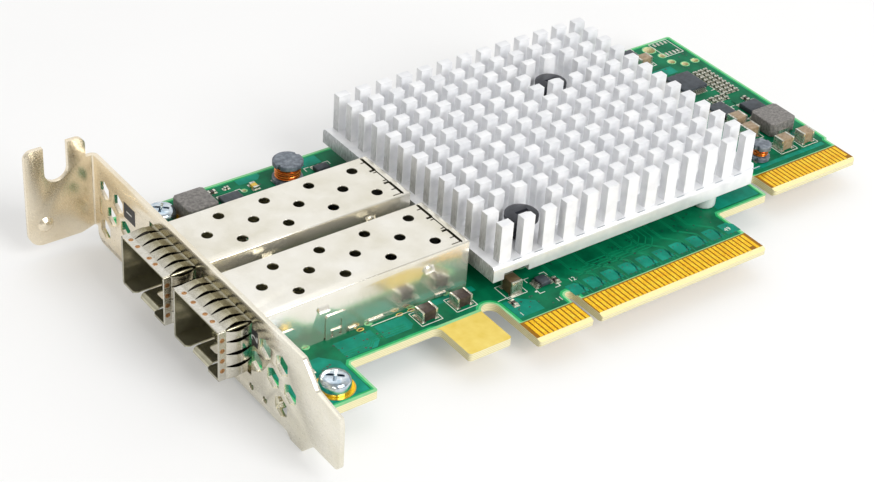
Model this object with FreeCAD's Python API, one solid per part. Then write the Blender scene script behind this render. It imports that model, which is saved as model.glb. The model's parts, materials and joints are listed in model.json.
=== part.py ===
import FreeCAD, Part
import math
import os

# Two-port network interface card on a low-profile bracket, in millimetres.
# Frame: the origin is the middle of the key notch at the tip of the main edge connector, on the
# component face of the board. +X runs from the bracket to the tail, +Y from the connector tip to
# the far long edge, +Z out of the component face.

# ---- board ----
board_thickness = 1.57
board_left = -56.40
board_right = 76.90
board_far_edge = 68.90
board_corner_radius = 0.6
board_inner_radius = 1.3
screw_ear_bottom = 3.65
screw_ear_right = -43.00
near_shoulder = 12.10
guard_tab_left = -24.90
guard_tab_right = -16.05
guard_tab_bottom = 3.30
guard_slot_top = 13.20
finger_corner = 0.5
key_width = 1.90
key_depth = 8.60
far_shoulder = 12.85
tail_slot_left = 52.10
tail_slot_width = 2.40
tail_slot_top = 19.60
tail_edge = 13.10
tail_step = 21.20
tail_step_inset = 0.60
tail_corner_radius = 1.0
bevel_run = 0.85
bevel_rise = 0.35

# ---- gold contacts of the two edge connectors ----
contact_pitch = 1.00
contact_width = 0.70
contact_length = 4.45
contact_tip_gap = 0.95
contact_thickness = 0.05
contact_detect_cut = 0.90
contacts_before_key = 11
contacts_after_key = 38
contact_to_key = 1.50
contact_side_margin = 0.75
tail_contacts_count = 21

# ---- holes in the board ----
screw_x = -48.50
screw_near_y = 8.10
screw_spacing = 56.00
screw_thread = 3.00
screw_hole_clearance = 0.10
tooling_hole = 2.60
tooling_x = 69.30
tooling_y = 66.40
test_hole = 0.80
test_x = -31.05
test_y = 64.30
plated_hole = 1.50
plated_holes = [(70.2, 63.2), (70.2, 60.3), (72.1, 58.2), (74.9, 58.3)]

# ---- bracket ----
sheet = 0.86
bracket_face = -57.80
bracket_top = 12.70
bracket_bottom = -4.70
bracket_skirt = -5.72
bend_radius = 0.40
tab_face = 72.10
tab_depth = 13.00
tab_top = 16.90
tab_bottom = -2.80
tab_corner_radius = 2.80
prong_corner_radius = 1.60
tab_prong_inset = 1.40
tab_slot_width = 4.60
tab_slot_offset = 7.10
tab_slot_depth = 7.40
relief_bottom = -1.90
relief_depth = 1.70
dimple_radius = 1.50
dimple_height = 0.70
dimple_offset = 9.65
dimple_z = 1.25
tongue_end = -7.10
tongue_low = -2.50
tongue_high = 7.80
tongue_tip_radius = 1.30
shoulder_radius = 1.00
skirt_inner_radius = 0.60
skirt_outer_radius = 0.40
body_corner_radius = 2.00
tongue_tip_notch = 0.40
tongue_tip_notch_z = 1.50
shoulder_start = 3.60
shoulder_knee = -0.40
shoulder_knee_z = 0.90
skirt_near = 3.20
skirt_far = 6.60
skirt_slope = 1.10
vent_flats = 3.45
vent_pitch = 5.00
vent_row_pitch = 4.10
vent_row_z = 3.15
vent_group_tongue = 9.50
vent_group_tab = 67.50
half_vent_width = 0.90
half_vent_inset = 1.50
led_window = 1.30
led_window_drop = 1.40
led_windows = [18.40, 14.30]
bracket_ear_width = 7.00
bracket_ear_reach = 4.20
bracket_ear_radius = 1.50

# ---- module cages ----
cage_sheet = 0.25
cage_width = 14.00
cage_height = 9.55
cage_rear = -13.90
cage_near_centre = 26.20
cage_gap = 3.40
cage_reach = 5.70
cage_board_gap = 0.15
cage_vent = 2.00
cage_vent_pitch = 9.18
cage_vent_row = 3.95
cage_vent_first = 17.00
cage_vents_per_row = 4
cage_rear_slot = 0.55
cage_rear_slot_length = 4.20
cage_rear_slot_inset = 1.35
cage_pin = 0.70
cage_pin_length = 2.60
cage_pin_slot_clearance = 0.12
cage_pin_places = [4.40, 11.80, 20.50, 33.00]
lance_places = [8.50, 29.80]
lance_length = 2.00
lance_height = 1.10
lance_rise = 0.70
lance_z = 6.90
floor_gap = 0.30
floor_corner = 0.20
strap_places = [27.15, 37.25]
strap_width = 4.15
strap_height = 4.90
strap_corner = 0.50
strap_window_width = 2.20
strap_window_low = 1.60
strap_window_high = 3.55
strap_stem = 1.25
strap_slot = 0.45
strap_slot_low = 0.35
strap_slot_high = 1.10
latch_notch = 6.20
latch_notch_depth = 7.50
latch_notch_round = 0.80
latch_width = 5.20
latch_front = 1.10
latch_curl = 0.80
latch_hole_length = 2.00
latch_hole_width = 2.60
latch_hole_front = 1.20
port_clearance = 0.55

# ---- spring collars round the cage mouths ----
collar_sheet = 0.18
collar_bulge = 0.80
collar_front_lip = 1.40
collar_rear_lip = 0.40
collar_length = 6.70
collar_slit = 0.40
collar_top_fingers = 6
collar_side_fingers = 4

# ---- sockets inside the cages ----
socket_length = 9.20
socket_width = 11.80
socket_height = 5.40
socket_rear_gap = 0.60
socket_slot_width = 9.40
socket_slot_height = 1.30
socket_slot_depth = 6.00
socket_slot_z = 3.00
socket_chamfer = 0.60
socket_relief_depth = 1.60
socket_relief_height = 1.40
socket_contacts = 10
socket_contact_pitch = 0.80
socket_contact_width = 0.35
socket_contact_sheet = 0.20
socket_contact_set_back = 0.80
socket_tail_inside = 1.50
socket_tail_outside = 0.40

# ---- controller and heat sink ----
substrate_side = 25.00
substrate_thickness = 1.20
lid_side = 20.00
lid_thickness = 1.40
lid_corner_radius = 1.00
pad_side = 20.00
pad_thickness = 0.35
base_thickness = 3.05
base_left = -12.10
base_front_margin = 0.85
base_end_margin = 1.65
base_edge_round = 0.80
base_corner_chamfer = 1.60
fin_height = 7.50
fin_length = 2.50
fin_depth = 1.70
fin_pitch_x = 4.708
fin_pitch_y = 4.125
fins_x = 13
fins_y = 13
fin_first_x = -9.20
fin_first_y = 15.90
push_pin_offset = 1.5
push_pin_spacing = 33.00
push_pin_row = 1
head_radius = 3.05
head_thickness = 1.30
head_dome = 0.45
head_dome_run = 1.00
driver_slot_length = 2.60
driver_slot_width = 0.70
driver_slot_depth = 0.40
head_top = 11.00
head_pocket = 0.75
pin_shank = 3.00
pin_hole_clearance = 0.20
barb_radius = 1.95
barb_length = 2.20
barb_neck = 0.20
barb_split = 0.70
barb_tip_share = 0.60
spring_wire = 0.45
spring_radius = 2.25
spring_turns = 3.5
spring_side_count = 5
spring_step_count = 12
spring_seat = 0.03
post_radius = 2.15
post_x = 39.60
post_y = 16.95
post_round = 0.50
notch_left = -9.75
notch_width = 5.40
notch_rise = 1.15
notch_reach = 4.20

# ---- wound parts ----
left_choke = (-42.40, 62.30, 6.30, 6.40, 3.20)
right_choke = (70.20, 30.50, 6.60, 6.40, 3.00)
choke_chamfer = 0.55
choke_foot = 0.15
terminal_sheet = 0.20
terminal_share = 0.45
terminal_rise = 1.20
drum_large = (-22.40, 63.20, 5.80, 4.60)
drum_small = (59.85, 23.10, 3.80, 3.50)
drum_flange = 0.95
drum_core_share = 0.50
drum_winding_inset = 0.40
drum_notch = 0.90
drum_notch_angle = 20.0
drum_edge = 0.15
drum_foot = 0.10
drum_foot_place = 0.62
drum_foot_length = 0.50
drum_foot_width = 0.90
winding_ring_count = 5

# ---- chip parts: x, y, length, width, height, axis ----
terminal_wrap = 0.45
terminal_skin = 0.04
bulk_capacitors = [
    (-7.95, 14.15, 3.2, 2.3, 2.75, "Y"),
    (66.85, 23.85, 3.2, 2.5, 2.40, "X"),
    (72.25, 23.60, 3.0, 2.5, 2.40, "X"),
    (64.60, 34.75, 3.2, 2.6, 2.30, "X"),
    (64.00, 30.50, 3.2, 2.6, 2.30, "X"),
    (64.40, 62.70, 3.2, 2.2, 1.80, "X"),
]
ferrite_beads = [
    (-17.60, 15.80, 3.2, 2.5, 2.00, "X"),
    (-25.00, 15.70, 3.2, 2.5, 2.00, "X"),
]
chip_height = 0.50
chip_singles = [
    (-10.00, 10.70, 1.6, 0.8, "Y"),
    (0.45, 12.30, 1.6, 0.8, "Y"),
    (-51.20, 14.10, 1.0, 0.5, "Y"),
    (-49.60, 13.70, 1.6, 0.8, "Y"),
    (-36.60, 66.70, 1.6, 0.8, "X"),
    (-33.60, 66.50, 1.0, 0.5, "X"),
    (73.20, 41.00, 1.6, 0.8, "Y"),
    (68.90, 34.60, 1.0, 0.5, "Y"),
    (62.60, 27.00, 1.6, 0.8, "Y"),
    (63.20, 24.60, 1.0, 0.5, "Y"),
]
# rows of tiny chips: first x, first y, pitch x, pitch y, columns, rows
chip_banks = [
    (70.90, 44.80, 1.45, 1.15, 3, 9),
    (66.70, 43.30, 1.55, 1.20, 3, 2),
]
chip_bank_size = (1.0, 0.5)
status_leds = [
    (-28.90, 64.40, 1.9, 1.2, "Y"),
]
led_height = 0.65
window_leds_x = -54.40
window_led_size = (2.0, 1.4, 1.6)

# ---- leaded packages: x, y, length, width, height, leads a side, lead pitch, leads on ----
standoff = 0.12
package_chamfer = 0.12
lead_sheet = 0.18
lead_reach = 0.95
lead_share = 0.45
lead_knee_share = 0.35
packages = {
    "left_ic": (-34.80, 62.10, 4.1, 3.6, 1.00, 4, 0.95, "Y"),
    "rear_ic": (71.60, 37.30, 4.1, 3.7, 1.20, 4, 0.95, "Y"),
    "finger_ic": (-2.00, 13.00, 2.1, 2.3, 0.95, 5, 0.45, "X"),
    "quad_ic": (66.10, 51.40, 6.1, 6.1, 1.20, 10, 0.50, "XY"),
    "switch_ic": (65.10, 39.40, 3.9, 5.2, 1.00, 3, 1.27, "X"),
    "small_ic": (-15.10, 62.85, 2.9, 1.7, 1.05, 3, 0.95, "Y"),
    "corner_ic": (63.30, 66.20, 3.2, 2.6, 1.00, 3, 0.95, "X"),
}

# ---- screws ----
screw_head_radius = 2.75
screw_head_height = 2.45
screw_crown_radius = 1.70
screw_shoulder_radius = 2.45
screw_rim_height = 1.00
screw_shoulder_height = 1.85
screw_tip = 1.10
recess_width = 0.70
recess_length = 3.00
recess_depth = 1.10
land_radius = 3.25
land_thickness = 0.05

# ---- places worked out from the sizes above ----
board_bottom = -board_thickness
finger_left = -(contact_to_key + (contacts_before_key - 1) * contact_pitch + contact_width / 2 + contact_side_margin)
finger_right = contact_to_key + (contacts_after_key - 1) * contact_pitch + contact_width / 2 + contact_side_margin
tail_left = tail_slot_left + tail_slot_width
tail_right = board_right - tail_step_inset
tail_run = (tail_contacts_count - 1) * contact_pitch
tail_first_contact = (tail_left + tail_right - tail_run) / 2
bracket_back = bracket_face + sheet
tab_end = bracket_face - tab_depth
screw_places = [(screw_x, screw_near_y), (screw_x, screw_near_y + screw_spacing)]
screw_hole = screw_thread + 2 * screw_hole_clearance
cage_front = bracket_face - cage_reach
cage_pitch = cage_width + cage_gap
socket_rear = cage_rear - cage_sheet - socket_rear_gap
socket_front = socket_rear - socket_length
cage_centres = {"1": cage_near_centre + cage_pitch, "2": cage_near_centre}
controller_height = substrate_thickness + lid_thickness
base_bottom = controller_height + pad_thickness
base_top = base_bottom + base_thickness
fin_top = base_top + fin_height
base_front = fin_first_y - fin_depth / 2 - base_front_margin
base_back = fin_first_y + (fins_y - 1) * fin_pitch_y + fin_depth / 2 + base_front_margin
base_right = fin_first_x + (fins_x - 1) * fin_pitch_x + fin_length / 2 + base_end_margin
push_pin_first = (fin_first_x + push_pin_offset * fin_pitch_x, fin_first_y + push_pin_row * fin_pitch_y)
push_pin_places = [push_pin_first,
                   (push_pin_first[0] + push_pin_spacing, push_pin_first[1] + push_pin_spacing)]
controller_centre = (push_pin_first[0] + push_pin_spacing / 2, push_pin_first[1] + push_pin_spacing / 2)
pin_hole = pin_shank + 2 * pin_hole_clearance


# ---- shape helpers ----
def at(x, y, z):
    return FreeCAD.Vector(x, y, z)


def on_board(a, b):
    return at(a, b, 0)


def on_bracket(a, b):
    return at(bracket_face, a, b)


def on_tab(a, b):
    return at(a, tab_face, b)


def block(x0, x1, y0, y1, z0, z1):
    return Part.makeBox(x1 - x0, y1 - y0, z1 - z0, at(x0, y0, z0))


def block_about(x, y, z0, length, width, height):
    return block(x - length / 2, x + length / 2, y - width / 2, y + width / 2, z0, z0 + height)


def rod(radius, x, y, z0, z1):
    return Part.makeCylinder(radius, z1 - z0, at(x, y, z0))


def join(shapes):
    """One shape from pieces that touch or overlap."""
    whole = shapes[0]
    if len(shapes) > 1:
        whole = whole.multiFuse(shapes[1:])
    return whole.removeSplitter()


def group(shapes):
    return Part.makeCompound(shapes)


def rounded_face(corners, place):
    """Flat face from corners (a, b, radius): straight runs with an arc at each corner that has one."""
    count = len(corners)
    runs = []
    for i in range(count):
        a, b, radius = corners[i]
        corner = FreeCAD.Vector(a, b, 0)
        before = FreeCAD.Vector(corners[i - 1][0], corners[i - 1][1], 0) - corner
        after = FreeCAD.Vector(corners[(i + 1) % count][0], corners[(i + 1) % count][1], 0) - corner
        before.normalize()
        after.normalize()
        if radius <= 0:
            runs.append((corner, None, corner))
            continue
        half = before.getAngle(after) / 2
        middle = before + after
        middle.normalize()
        start = corner + before * (radius / math.tan(half))
        end = corner + after * (radius / math.tan(half))
        top = corner + middle * (radius / math.sin(half) - radius)
        runs.append((start, top, end))
    edges = []
    for i in range(count):
        start, top, end = runs[i]
        if top is not None:
            edges.append(Part.Arc(place(start.x, start.y), place(top.x, top.y), place(end.x, end.y)).toShape())
        following = runs[(i + 1) % count][0]
        if (following - end).Length > 1e-6:
            edges.append(Part.makeLine(place(end.x, end.y), place(following.x, following.y)))
    return Part.Face(Part.Wire(edges))


def turned(profile, x, y):
    """Solid of revolution about a vertical axis at x, y from a profile of (radius, height) points."""
    points = [at(x + r, y, z) for r, z in profile]
    face = Part.Face(Part.makePolygon(points + [points[0]]))
    return face.revolve(at(x, y, 0), at(0, 0, 1), 360)


# ---- circuit board ----
def board_outline():
    r = board_corner_radius
    key = key_width / 2
    slot = (finger_left - guard_tab_right) / 2
    tail_slot = tail_slot_width / 2
    return [
        (board_left, screw_ear_bottom, r),
        (screw_ear_right, screw_ear_bottom, r),
        (screw_ear_right, near_shoulder, r),
        (guard_tab_left, near_shoulder, board_inner_radius),
        (guard_tab_left, guard_tab_bottom, r),
        (guard_tab_right, guard_tab_bottom, r),
        (guard_tab_right, guard_slot_top, slot),
        (finger_left, guard_slot_top, slot),
        (finger_left, 0, finger_corner),
        (-key, 0, finger_corner / 2),
        (-key, key_depth, key),
        (key, key_depth, key),
        (key, 0, finger_corner / 2),
        (finger_right, 0, finger_corner),
        (finger_right, far_shoulder, r),
        (tail_slot_left, far_shoulder, r),
        (tail_slot_left, tail_slot_top, tail_slot),
        (tail_left, tail_slot_top, tail_slot),
        (tail_left, tail_edge, r),
        (tail_right, tail_edge, tail_corner_radius),
        (tail_right, tail_step, 0),
        (board_right, tail_step + tail_step_inset, 0),
        (board_right, board_far_edge, r),
        (board_left, board_far_edge, r),
    ]


def bevel_cutters(left, right, edge):
    """Two wedges that bevel a connector tip on both faces."""
    cutters = []
    for face_z, depth in ((0, -bevel_rise), (board_bottom, bevel_rise)):
        corners = [at(left, edge, face_z), at(left, edge + bevel_run, face_z), at(left, edge, face_z + depth)]
        wedge = Part.Face(Part.makePolygon(corners + [corners[0]]))
        cutters.append(wedge.extrude(at(right - left, 0, 0)))
    return cutters


def cage_pin_spots(centre):
    wall = cage_width / 2 - cage_sheet / 2
    return [(cage_rear - back, centre + side * wall) for back in cage_pin_places for side in (-1, 1)]


def make_board():
    plate = rounded_face(board_outline(), on_board).extrude(at(0, 0, -board_thickness))
    holes = [(x, y, screw_hole / 2) for x, y in screw_places]
    holes += [(x, y, pin_hole / 2) for x, y in push_pin_places]
    holes += [(tooling_x, tooling_y, tooling_hole / 2), (test_x, test_y, test_hole / 2)]
    holes += [(x, y, plated_hole / 2) for x, y in plated_holes]
    cutters = [rod(r, x, y, board_bottom - 1, 1) for x, y, r in holes]
    slot_length = cage_pin + 2 * cage_pin_slot_clearance
    slot_width = cage_sheet + 2 * cage_pin_slot_clearance
    for centre in cage_centres.values():
        for x, y in cage_pin_spots(centre):
            cutters.append(block_about(x, y, board_bottom - 1, slot_length, slot_width, board_thickness + 2))
    cutters += bevel_cutters(finger_left, finger_right, 0)
    cutters += bevel_cutters(tail_left, tail_right, tail_edge)
    return plate.cut(group(cutters))


# ---- edge contacts and screw lands ----
def contact_row(places, edge, detect):
    """Contacts on both faces; the presence-detect one starts further from the tip."""
    row = []
    for i, x in enumerate(places):
        start = edge + contact_tip_gap + (contact_detect_cut if i == detect else 0)
        end = edge + contact_tip_gap + contact_length
        for z in (0, board_bottom - contact_thickness):
            row.append(block(x - contact_width / 2, x + contact_width / 2, start, end, z, z + contact_thickness))
    return group(row)


def make_edge_contacts():
    before = [-contact_to_key - i * contact_pitch for i in range(contacts_before_key)]
    after = [contact_to_key + i * contact_pitch for i in range(contacts_after_key)]
    places = before[::-1] + after
    return contact_row(places, 0, len(places) - 2)


def make_tail_contacts():
    places = [tail_first_contact + i * contact_pitch for i in range(tail_contacts_count)]
    return contact_row(places, tail_edge, len(places) - 1)


def make_screw_lands():
    lands = []
    for x, y in screw_places:
        lands.append(rod(land_radius, x, y, 0, land_thickness).cut(rod(screw_hole / 2, x, y, -1, 1)))
    return group(lands)


# ---- bracket ----
def bracket_body_outline():
    tip = tongue_end + tongue_tip_notch
    body_end = tab_face - relief_depth
    return [
        (tab_face, bracket_top, 0),
        (shoulder_start, bracket_top, shoulder_radius),
        (shoulder_knee, tongue_high + shoulder_knee_z, shoulder_radius),
        (tip, tongue_high, 0),
        (tongue_end, tongue_high - tongue_tip_notch_z, 0),
        (tongue_end, tongue_low, tongue_tip_radius),
        (0, tongue_low, skirt_inner_radius),
        (skirt_near, bracket_skirt, skirt_outer_radius),
        (skirt_far, bracket_skirt, skirt_inner_radius),
        (skirt_far + skirt_slope, bracket_bottom, skirt_outer_radius),
        (body_end, bracket_bottom, body_corner_radius),
        (body_end, relief_bottom, 0),
        (tab_face, relief_bottom, 0),
    ]


def bracket_tab_outline():
    prong_right = bracket_face - tab_prong_inset
    slot_right = bracket_face - tab_slot_offset + tab_slot_width / 2
    slot_left = slot_right - tab_slot_width
    slot_bottom = tab_top - tab_slot_depth
    foot = bracket_face - 2 * tab_prong_inset
    return [
        (bracket_back, bracket_top, 0),
        (prong_right, bracket_top, 0),
        (prong_right, tab_top, prong_corner_radius),
        (slot_right, tab_top, 0),
        (slot_right, slot_bottom, tab_slot_width / 2),
        (slot_left, slot_bottom, tab_slot_width / 2),
        (slot_left, tab_top, 0),
        (tab_end, tab_top, prong_corner_radius),
        (tab_end, tab_bottom, tab_corner_radius),
        (foot, tab_bottom, 0),
        (bracket_face, relief_bottom, 0),
        (bracket_back, relief_bottom, 0),
    ]


def bent_strip(low, high):
    """The sheet's bent section, seen from above, raised from low to high."""
    outer = bend_radius + sheet
    start = tongue_end - 1
    section = [
        (bracket_back, start, 0),
        (bracket_back, tab_face, outer),
        (tab_end - 1, tab_face, 0),
        (tab_end - 1, tab_face - sheet, 0),
        (bracket_face, tab_face - sheet, bend_radius),
        (bracket_face, start, 0),
    ]
    strip = rounded_face(section, on_board)
    strip.translate(at(0, 0, low))
    return strip.extrude(at(0, 0, high - low))


def hexagon(y, z):
    """Cutter for one vent: flats upright, points up and down."""
    radius = vent_flats / math.sqrt(3)
    corners = []
    for i in range(6):
        angle = math.radians(30 + 60 * i)
        corners.append((y + radius * math.cos(angle), z + radius * math.sin(angle), 0))
    return rounded_face(corners, on_bracket).extrude(at(2 * sheet, 0, 0))


def vent_places():
    """Two clusters of vents, one beside the tongue and one beside the tab."""
    low, mid, high = (vent_row_z + k * vent_row_pitch for k in (-1, 0, 1))
    y = vent_group_tongue
    step = vent_pitch
    places = [(y, high), (y + step, high), (y, low)]
    places += [(y + k * step, mid) for k in (-0.5, 0.5, 1.5)]
    y = vent_group_tab
    places += [(y, high), (y - step, high), (y, low)]
    places += [(y - 0.5 * step, mid), (y - 1.5 * step, mid)]
    return places


def bracket_openings():
    cutters = [hexagon(y, z) for y, z in vent_places()]
    half_vent = vent_group_tab + half_vent_inset
    cutters.append(block(bracket_face - sheet, bracket_back + sheet, half_vent - half_vent_width / 2,
                         half_vent + half_vent_width / 2, vent_row_z - vent_flats / 2, vent_row_z + vent_flats / 2))
    for y in led_windows:
        z = board_bottom - led_window_drop
        cutters.append(Part.makeCylinder(led_window / 2, 4 * sheet, at(bracket_face - sheet, y, z), at(1, 0, 0)))
    side = cage_width / 2 + collar_sheet + port_clearance
    for centre in cage_centres.values():
        cutters.append(block(bracket_face - sheet, bracket_back + sheet, centre - side, centre + side,
                             -port_clearance - collar_sheet, cage_height + collar_sheet + port_clearance))
    return cutters


def make_bracket():
    low = bracket_skirt - 1
    high = tab_top + 1
    body_cutter = rounded_face(bracket_body_outline(), on_bracket).extrude(at(sheet, 0, 0))
    tab_cutter = rounded_face(bracket_tab_outline(), on_tab).extrude(at(0, -(sheet + bend_radius), 0))
    strip = bent_strip(low, high)
    plate = join([strip.common(body_cutter), strip.common(tab_cutter)])
    ears = []
    for x, y in screw_places:
        corners = [
            (bracket_back, y - bracket_ear_width / 2, 0),
            (x + bracket_ear_reach, y - bracket_ear_width / 2, bracket_ear_radius),
            (x + bracket_ear_reach, y + bracket_ear_width / 2, bracket_ear_radius),
            (bracket_back, y + bracket_ear_width / 2, 0),
        ]
        ear = rounded_face(corners, on_board)
        ear.translate(at(0, 0, board_bottom - sheet))
        thread = rod(screw_thread / 2, x, y, board_bottom - 2 * sheet, board_bottom + sheet)
        ears.append(ear.extrude(at(0, 0, sheet)).cut(thread))
    dimple_x = bracket_face - dimple_offset
    ball_radius = (dimple_radius ** 2 + dimple_height ** 2) / (2 * dimple_height)
    ball = Part.makeSphere(ball_radius, at(dimple_x, tab_face - sheet - dimple_height + ball_radius, dimple_z))
    cap = ball.common(block(dimple_x - dimple_radius, dimple_x + dimple_radius, tab_face - 3 * sheet,
                            tab_face - sheet / 2, dimple_z - dimple_radius, dimple_z + dimple_radius))
    return join([plate, cap] + ears).cut(group(bracket_openings()))


def make_bracket_screws():
    """Pan heads with a cross recess; the shanks end in the bracket's threaded ears."""
    seat = land_thickness
    top = seat + screw_head_height
    shank = screw_thread / 2
    tip = board_bottom - sheet - screw_tip
    profile = [(0, top), (screw_crown_radius, top), (screw_shoulder_radius, seat + screw_shoulder_height),
               (screw_head_radius, seat + screw_rim_height), (screw_head_radius, seat), (shank, seat),
               (shank, tip), (0, tip)]
    screws = []
    for x, y in screw_places:
        cross = [block_about(x, y, top - recess_depth, recess_length, recess_width, recess_depth + 1),
                 block_about(x, y, top - recess_depth, recess_width, recess_length, recess_depth + 1)]
        screws.append(turned(profile, x, y).cut(group(cross)))
    return group(screws)


# ---- module cages ----
def cage_rear_slots(centre):
    """Narrow slots where the rear wall folds down from the top."""
    x = cage_rear - cage_rear_slot_inset
    slots = []
    for side in (-1, 1):
        y = centre + side * (cage_width / 2 - cage_rear_slot_length / 2 - cage_rear_slot)
        slots.append(block_about(x, y, cage_height - 1, cage_rear_slot, cage_rear_slot_length, 2))
        hook = y - side * cage_rear_slot_length / 2
        slots.append(block_about(x - cage_rear_slot, hook, cage_height - 1, 2 * cage_rear_slot, cage_rear_slot, 2))
    return slots


def cage_vent_holes(centre):
    """Three staggered rows of round vents in the cage top."""
    holes = []
    for row in (-1, 0, 1):
        first = cage_front + cage_vent_first - (0 if row else cage_vent_pitch / 2)
        for i in range(cage_vents_per_row):
            x = first + i * cage_vent_pitch
            holes.append(rod(cage_vent / 2, x, centre + row * cage_vent_row, cage_height - 1, cage_height + 1))
    return holes


def wall_wedge(x, centre, way):
    """Lance pressed out of a cage wall, thickest at its lower edge."""
    wall = centre + way * cage_width / 2
    low = lance_z - lance_height / 2
    high = lance_z + lance_height / 2
    start = x - lance_length / 2
    corners = [at(start, wall - way * cage_sheet / 2, high), at(start, wall, high),
               at(start, wall + way * lance_rise, low), at(start, wall - way * cage_sheet / 2, low)]
    return Part.Face(Part.makePolygon(corners + [corners[0]])).extrude(at(lance_length, 0, 0))


def make_cage_shell(centre):
    side = cage_width / 2
    t = cage_sheet
    outer = block(cage_front, cage_rear, centre - side, centre + side, 0, cage_height)
    inner = block(cage_front - 1, cage_rear - t, centre - side + t, centre + side - t, -1, cage_height - t)
    cutters = [inner] + cage_rear_slots(centre) + cage_vent_holes(centre)
    for back in strap_places:
        cutters.append(block_about(cage_rear - back, centre, -1, strap_width + 2 * t, cage_width + 2, 1 + 2 * t))
    shell = outer.cut(group(cutters))
    pins = [block_about(x, y, -cage_pin_length, cage_pin, t, cage_pin_length + 2 * t)
            for x, y in cage_pin_spots(centre)]
    lances = [wall_wedge(cage_rear - back, centre, way) for back in lance_places for way in (-1, 1)]
    return join([shell] + pins + lances)


def floor_outline(centre):
    """Plan of the cage floor: a plain sheet with a notch in its front edge for the latch tongue."""
    half = cage_width / 2 - cage_sheet
    notch = latch_notch / 2
    deep = cage_front + latch_notch_depth
    end = socket_front - floor_gap
    r = latch_notch_round
    return [
        (cage_front, centre - half, floor_corner),
        (cage_front, centre - notch, r),
        (deep, centre - notch, r),
        (deep, centre + notch, r),
        (cage_front, centre + notch, r),
        (cage_front, centre + half, floor_corner),
        (end, centre + half, 0),
        (end, centre - half, 0),
    ]


def latch_tongue(centre):
    """Sprung tongue in the floor's notch: a hole for the module's peg and a front edge curled down."""
    t = cage_sheet
    half = latch_width / 2
    front = cage_front + latch_front + latch_curl
    back = cage_front + latch_notch_depth + t
    curve = math.radians(45)
    low_x = front - latch_curl * math.sin(curve)
    low_z = latch_curl * (math.cos(curve) - 1)
    inner = latch_curl + t
    up_x = front - inner * math.sin(curve)
    up_z = t - inner * (1 - math.cos(curve))
    y = centre - half
    edges = [
        Part.makeLine(at(back, y, 0), at(front, y, 0)),
        Part.Arc(at(front, y, 0), at(low_x, y, low_z), at(front - latch_curl, y, -latch_curl)).toShape(),
        Part.makeLine(at(front - latch_curl, y, -latch_curl), at(front - inner, y, -latch_curl)),
        Part.Arc(at(front - inner, y, -latch_curl), at(up_x, y, up_z), at(front, y, t)).toShape(),
        Part.makeLine(at(front, y, t), at(back, y, t)),
        Part.makeLine(at(back, y, t), at(back, y, 0)),
    ]
    tongue = Part.Face(Part.Wire(edges)).extrude(at(0, latch_width, 0))
    hole_front = front + latch_hole_front
    hole = [
        (hole_front, centre - latch_hole_width / 2, latch_hole_length / 3),
        (hole_front + latch_hole_length, centre - latch_hole_width / 2, latch_hole_length / 3),
        (hole_front + latch_hole_length, centre + latch_hole_width / 2, latch_hole_length / 3),
        (hole_front, centre + latch_hole_width / 2, latch_hole_length / 3),
    ]
    cutter = rounded_face(hole, on_board)
    cutter.translate(at(0, 0, -1))
    return tongue.cut(cutter.extrude(at(0, 0, 2)))


def side_strap(x, centre, way):
    """Strap folded up outside a cage wall, with a window and a slotted stem below it."""
    t = cage_sheet
    half = strap_width / 2
    base = centre + way * cage_width / 2

    def on_wall(a, b):
        return at(x + a, base, b)

    frame = [(-half, 0, 0), (half, 0, 0), (half, strap_height, strap_corner), (-half, strap_height, strap_corner)]
    strap = rounded_face(frame, on_wall).extrude(at(0, way * t, 0))
    window_height = strap_window_high - strap_window_low
    holes = [block_about(x, base, strap_window_low, strap_window_width, 3 * t, window_height)]
    for side in (-1, 1):
        slot_x = x + side * (strap_stem + strap_slot) / 2
        holes.append(block_about(slot_x, base, strap_slot_low, strap_slot, 3 * t, strap_slot_high))
    inner = centre + way * (cage_width / 2 - 2 * t)
    outer = base + way * t
    foot = block(x - half, x + half, min(inner, outer), max(inner, outer), 0, t)
    return join([strap.cut(group(holes)), foot])


def make_cage_floor(centre):
    """Bottom sheet with its latch tongue and the straps that hold it to the shell."""
    floor = rounded_face(floor_outline(centre), on_board).extrude(at(0, 0, cage_sheet))
    straps = [side_strap(cage_rear - back, centre, way) for back in strap_places for way in (-1, 1)]
    return join([floor, latch_tongue(centre)] + straps)


# ---- spring collars ----
def collar_section():
    """Side view of one spring strip, as (x, height off the cage): front lip, arch, rear lip."""
    t = collar_sheet
    start = cage_front + collar_front_lip
    end = cage_front + collar_length - collar_rear_lip
    half = (end - start) / 2
    return [
        ("line", (cage_front, t), (cage_front, 0)),
        ("line", (cage_front, 0), (start, 0)),
        ("arc", (start, 0), (start + half, collar_bulge), (end, 0)),
        ("line", (end, 0), (cage_front + collar_length, 0)),
        ("line", (cage_front + collar_length, 0), (cage_front + collar_length, t)),
        ("line", (cage_front + collar_length, t), (end, t)),
        ("arc", (end, t), (start + half, collar_bulge + t), (start, t)),
        ("line", (start, t), (cage_front, t)),
    ]


def collar_strip(place, width, run, fingers, slit_axis):
    """Strip swept along a side of the mouth, with slits that part its arch into fingers."""
    edges = []
    for kind, *points in collar_section():
        placed = [place(x, h) for x, h in points]
        edges.append(Part.Arc(*placed).toShape() if kind == "arc" else Part.makeLine(*placed))
    strip = Part.Face(Part.Wire(edges)).extrude(run * (width + 2 * collar_sheet))
    start = place(cage_front + collar_front_lip, 0) + run * collar_sheet
    reach = collar_length - collar_front_lip - collar_rear_lip
    tall = 3 * collar_bulge
    slits = []
    for i in range(1, fingers):
        middle = start + run * (i * width / fingers)
        size = slit_axis(reach, collar_slit, 2 * tall)
        corner = middle - slit_axis(0, collar_slit / 2, tall)
        slits.append(Part.makeBox(size.x, size.y, size.z, corner))
    return strip.cut(group(slits))


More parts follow.
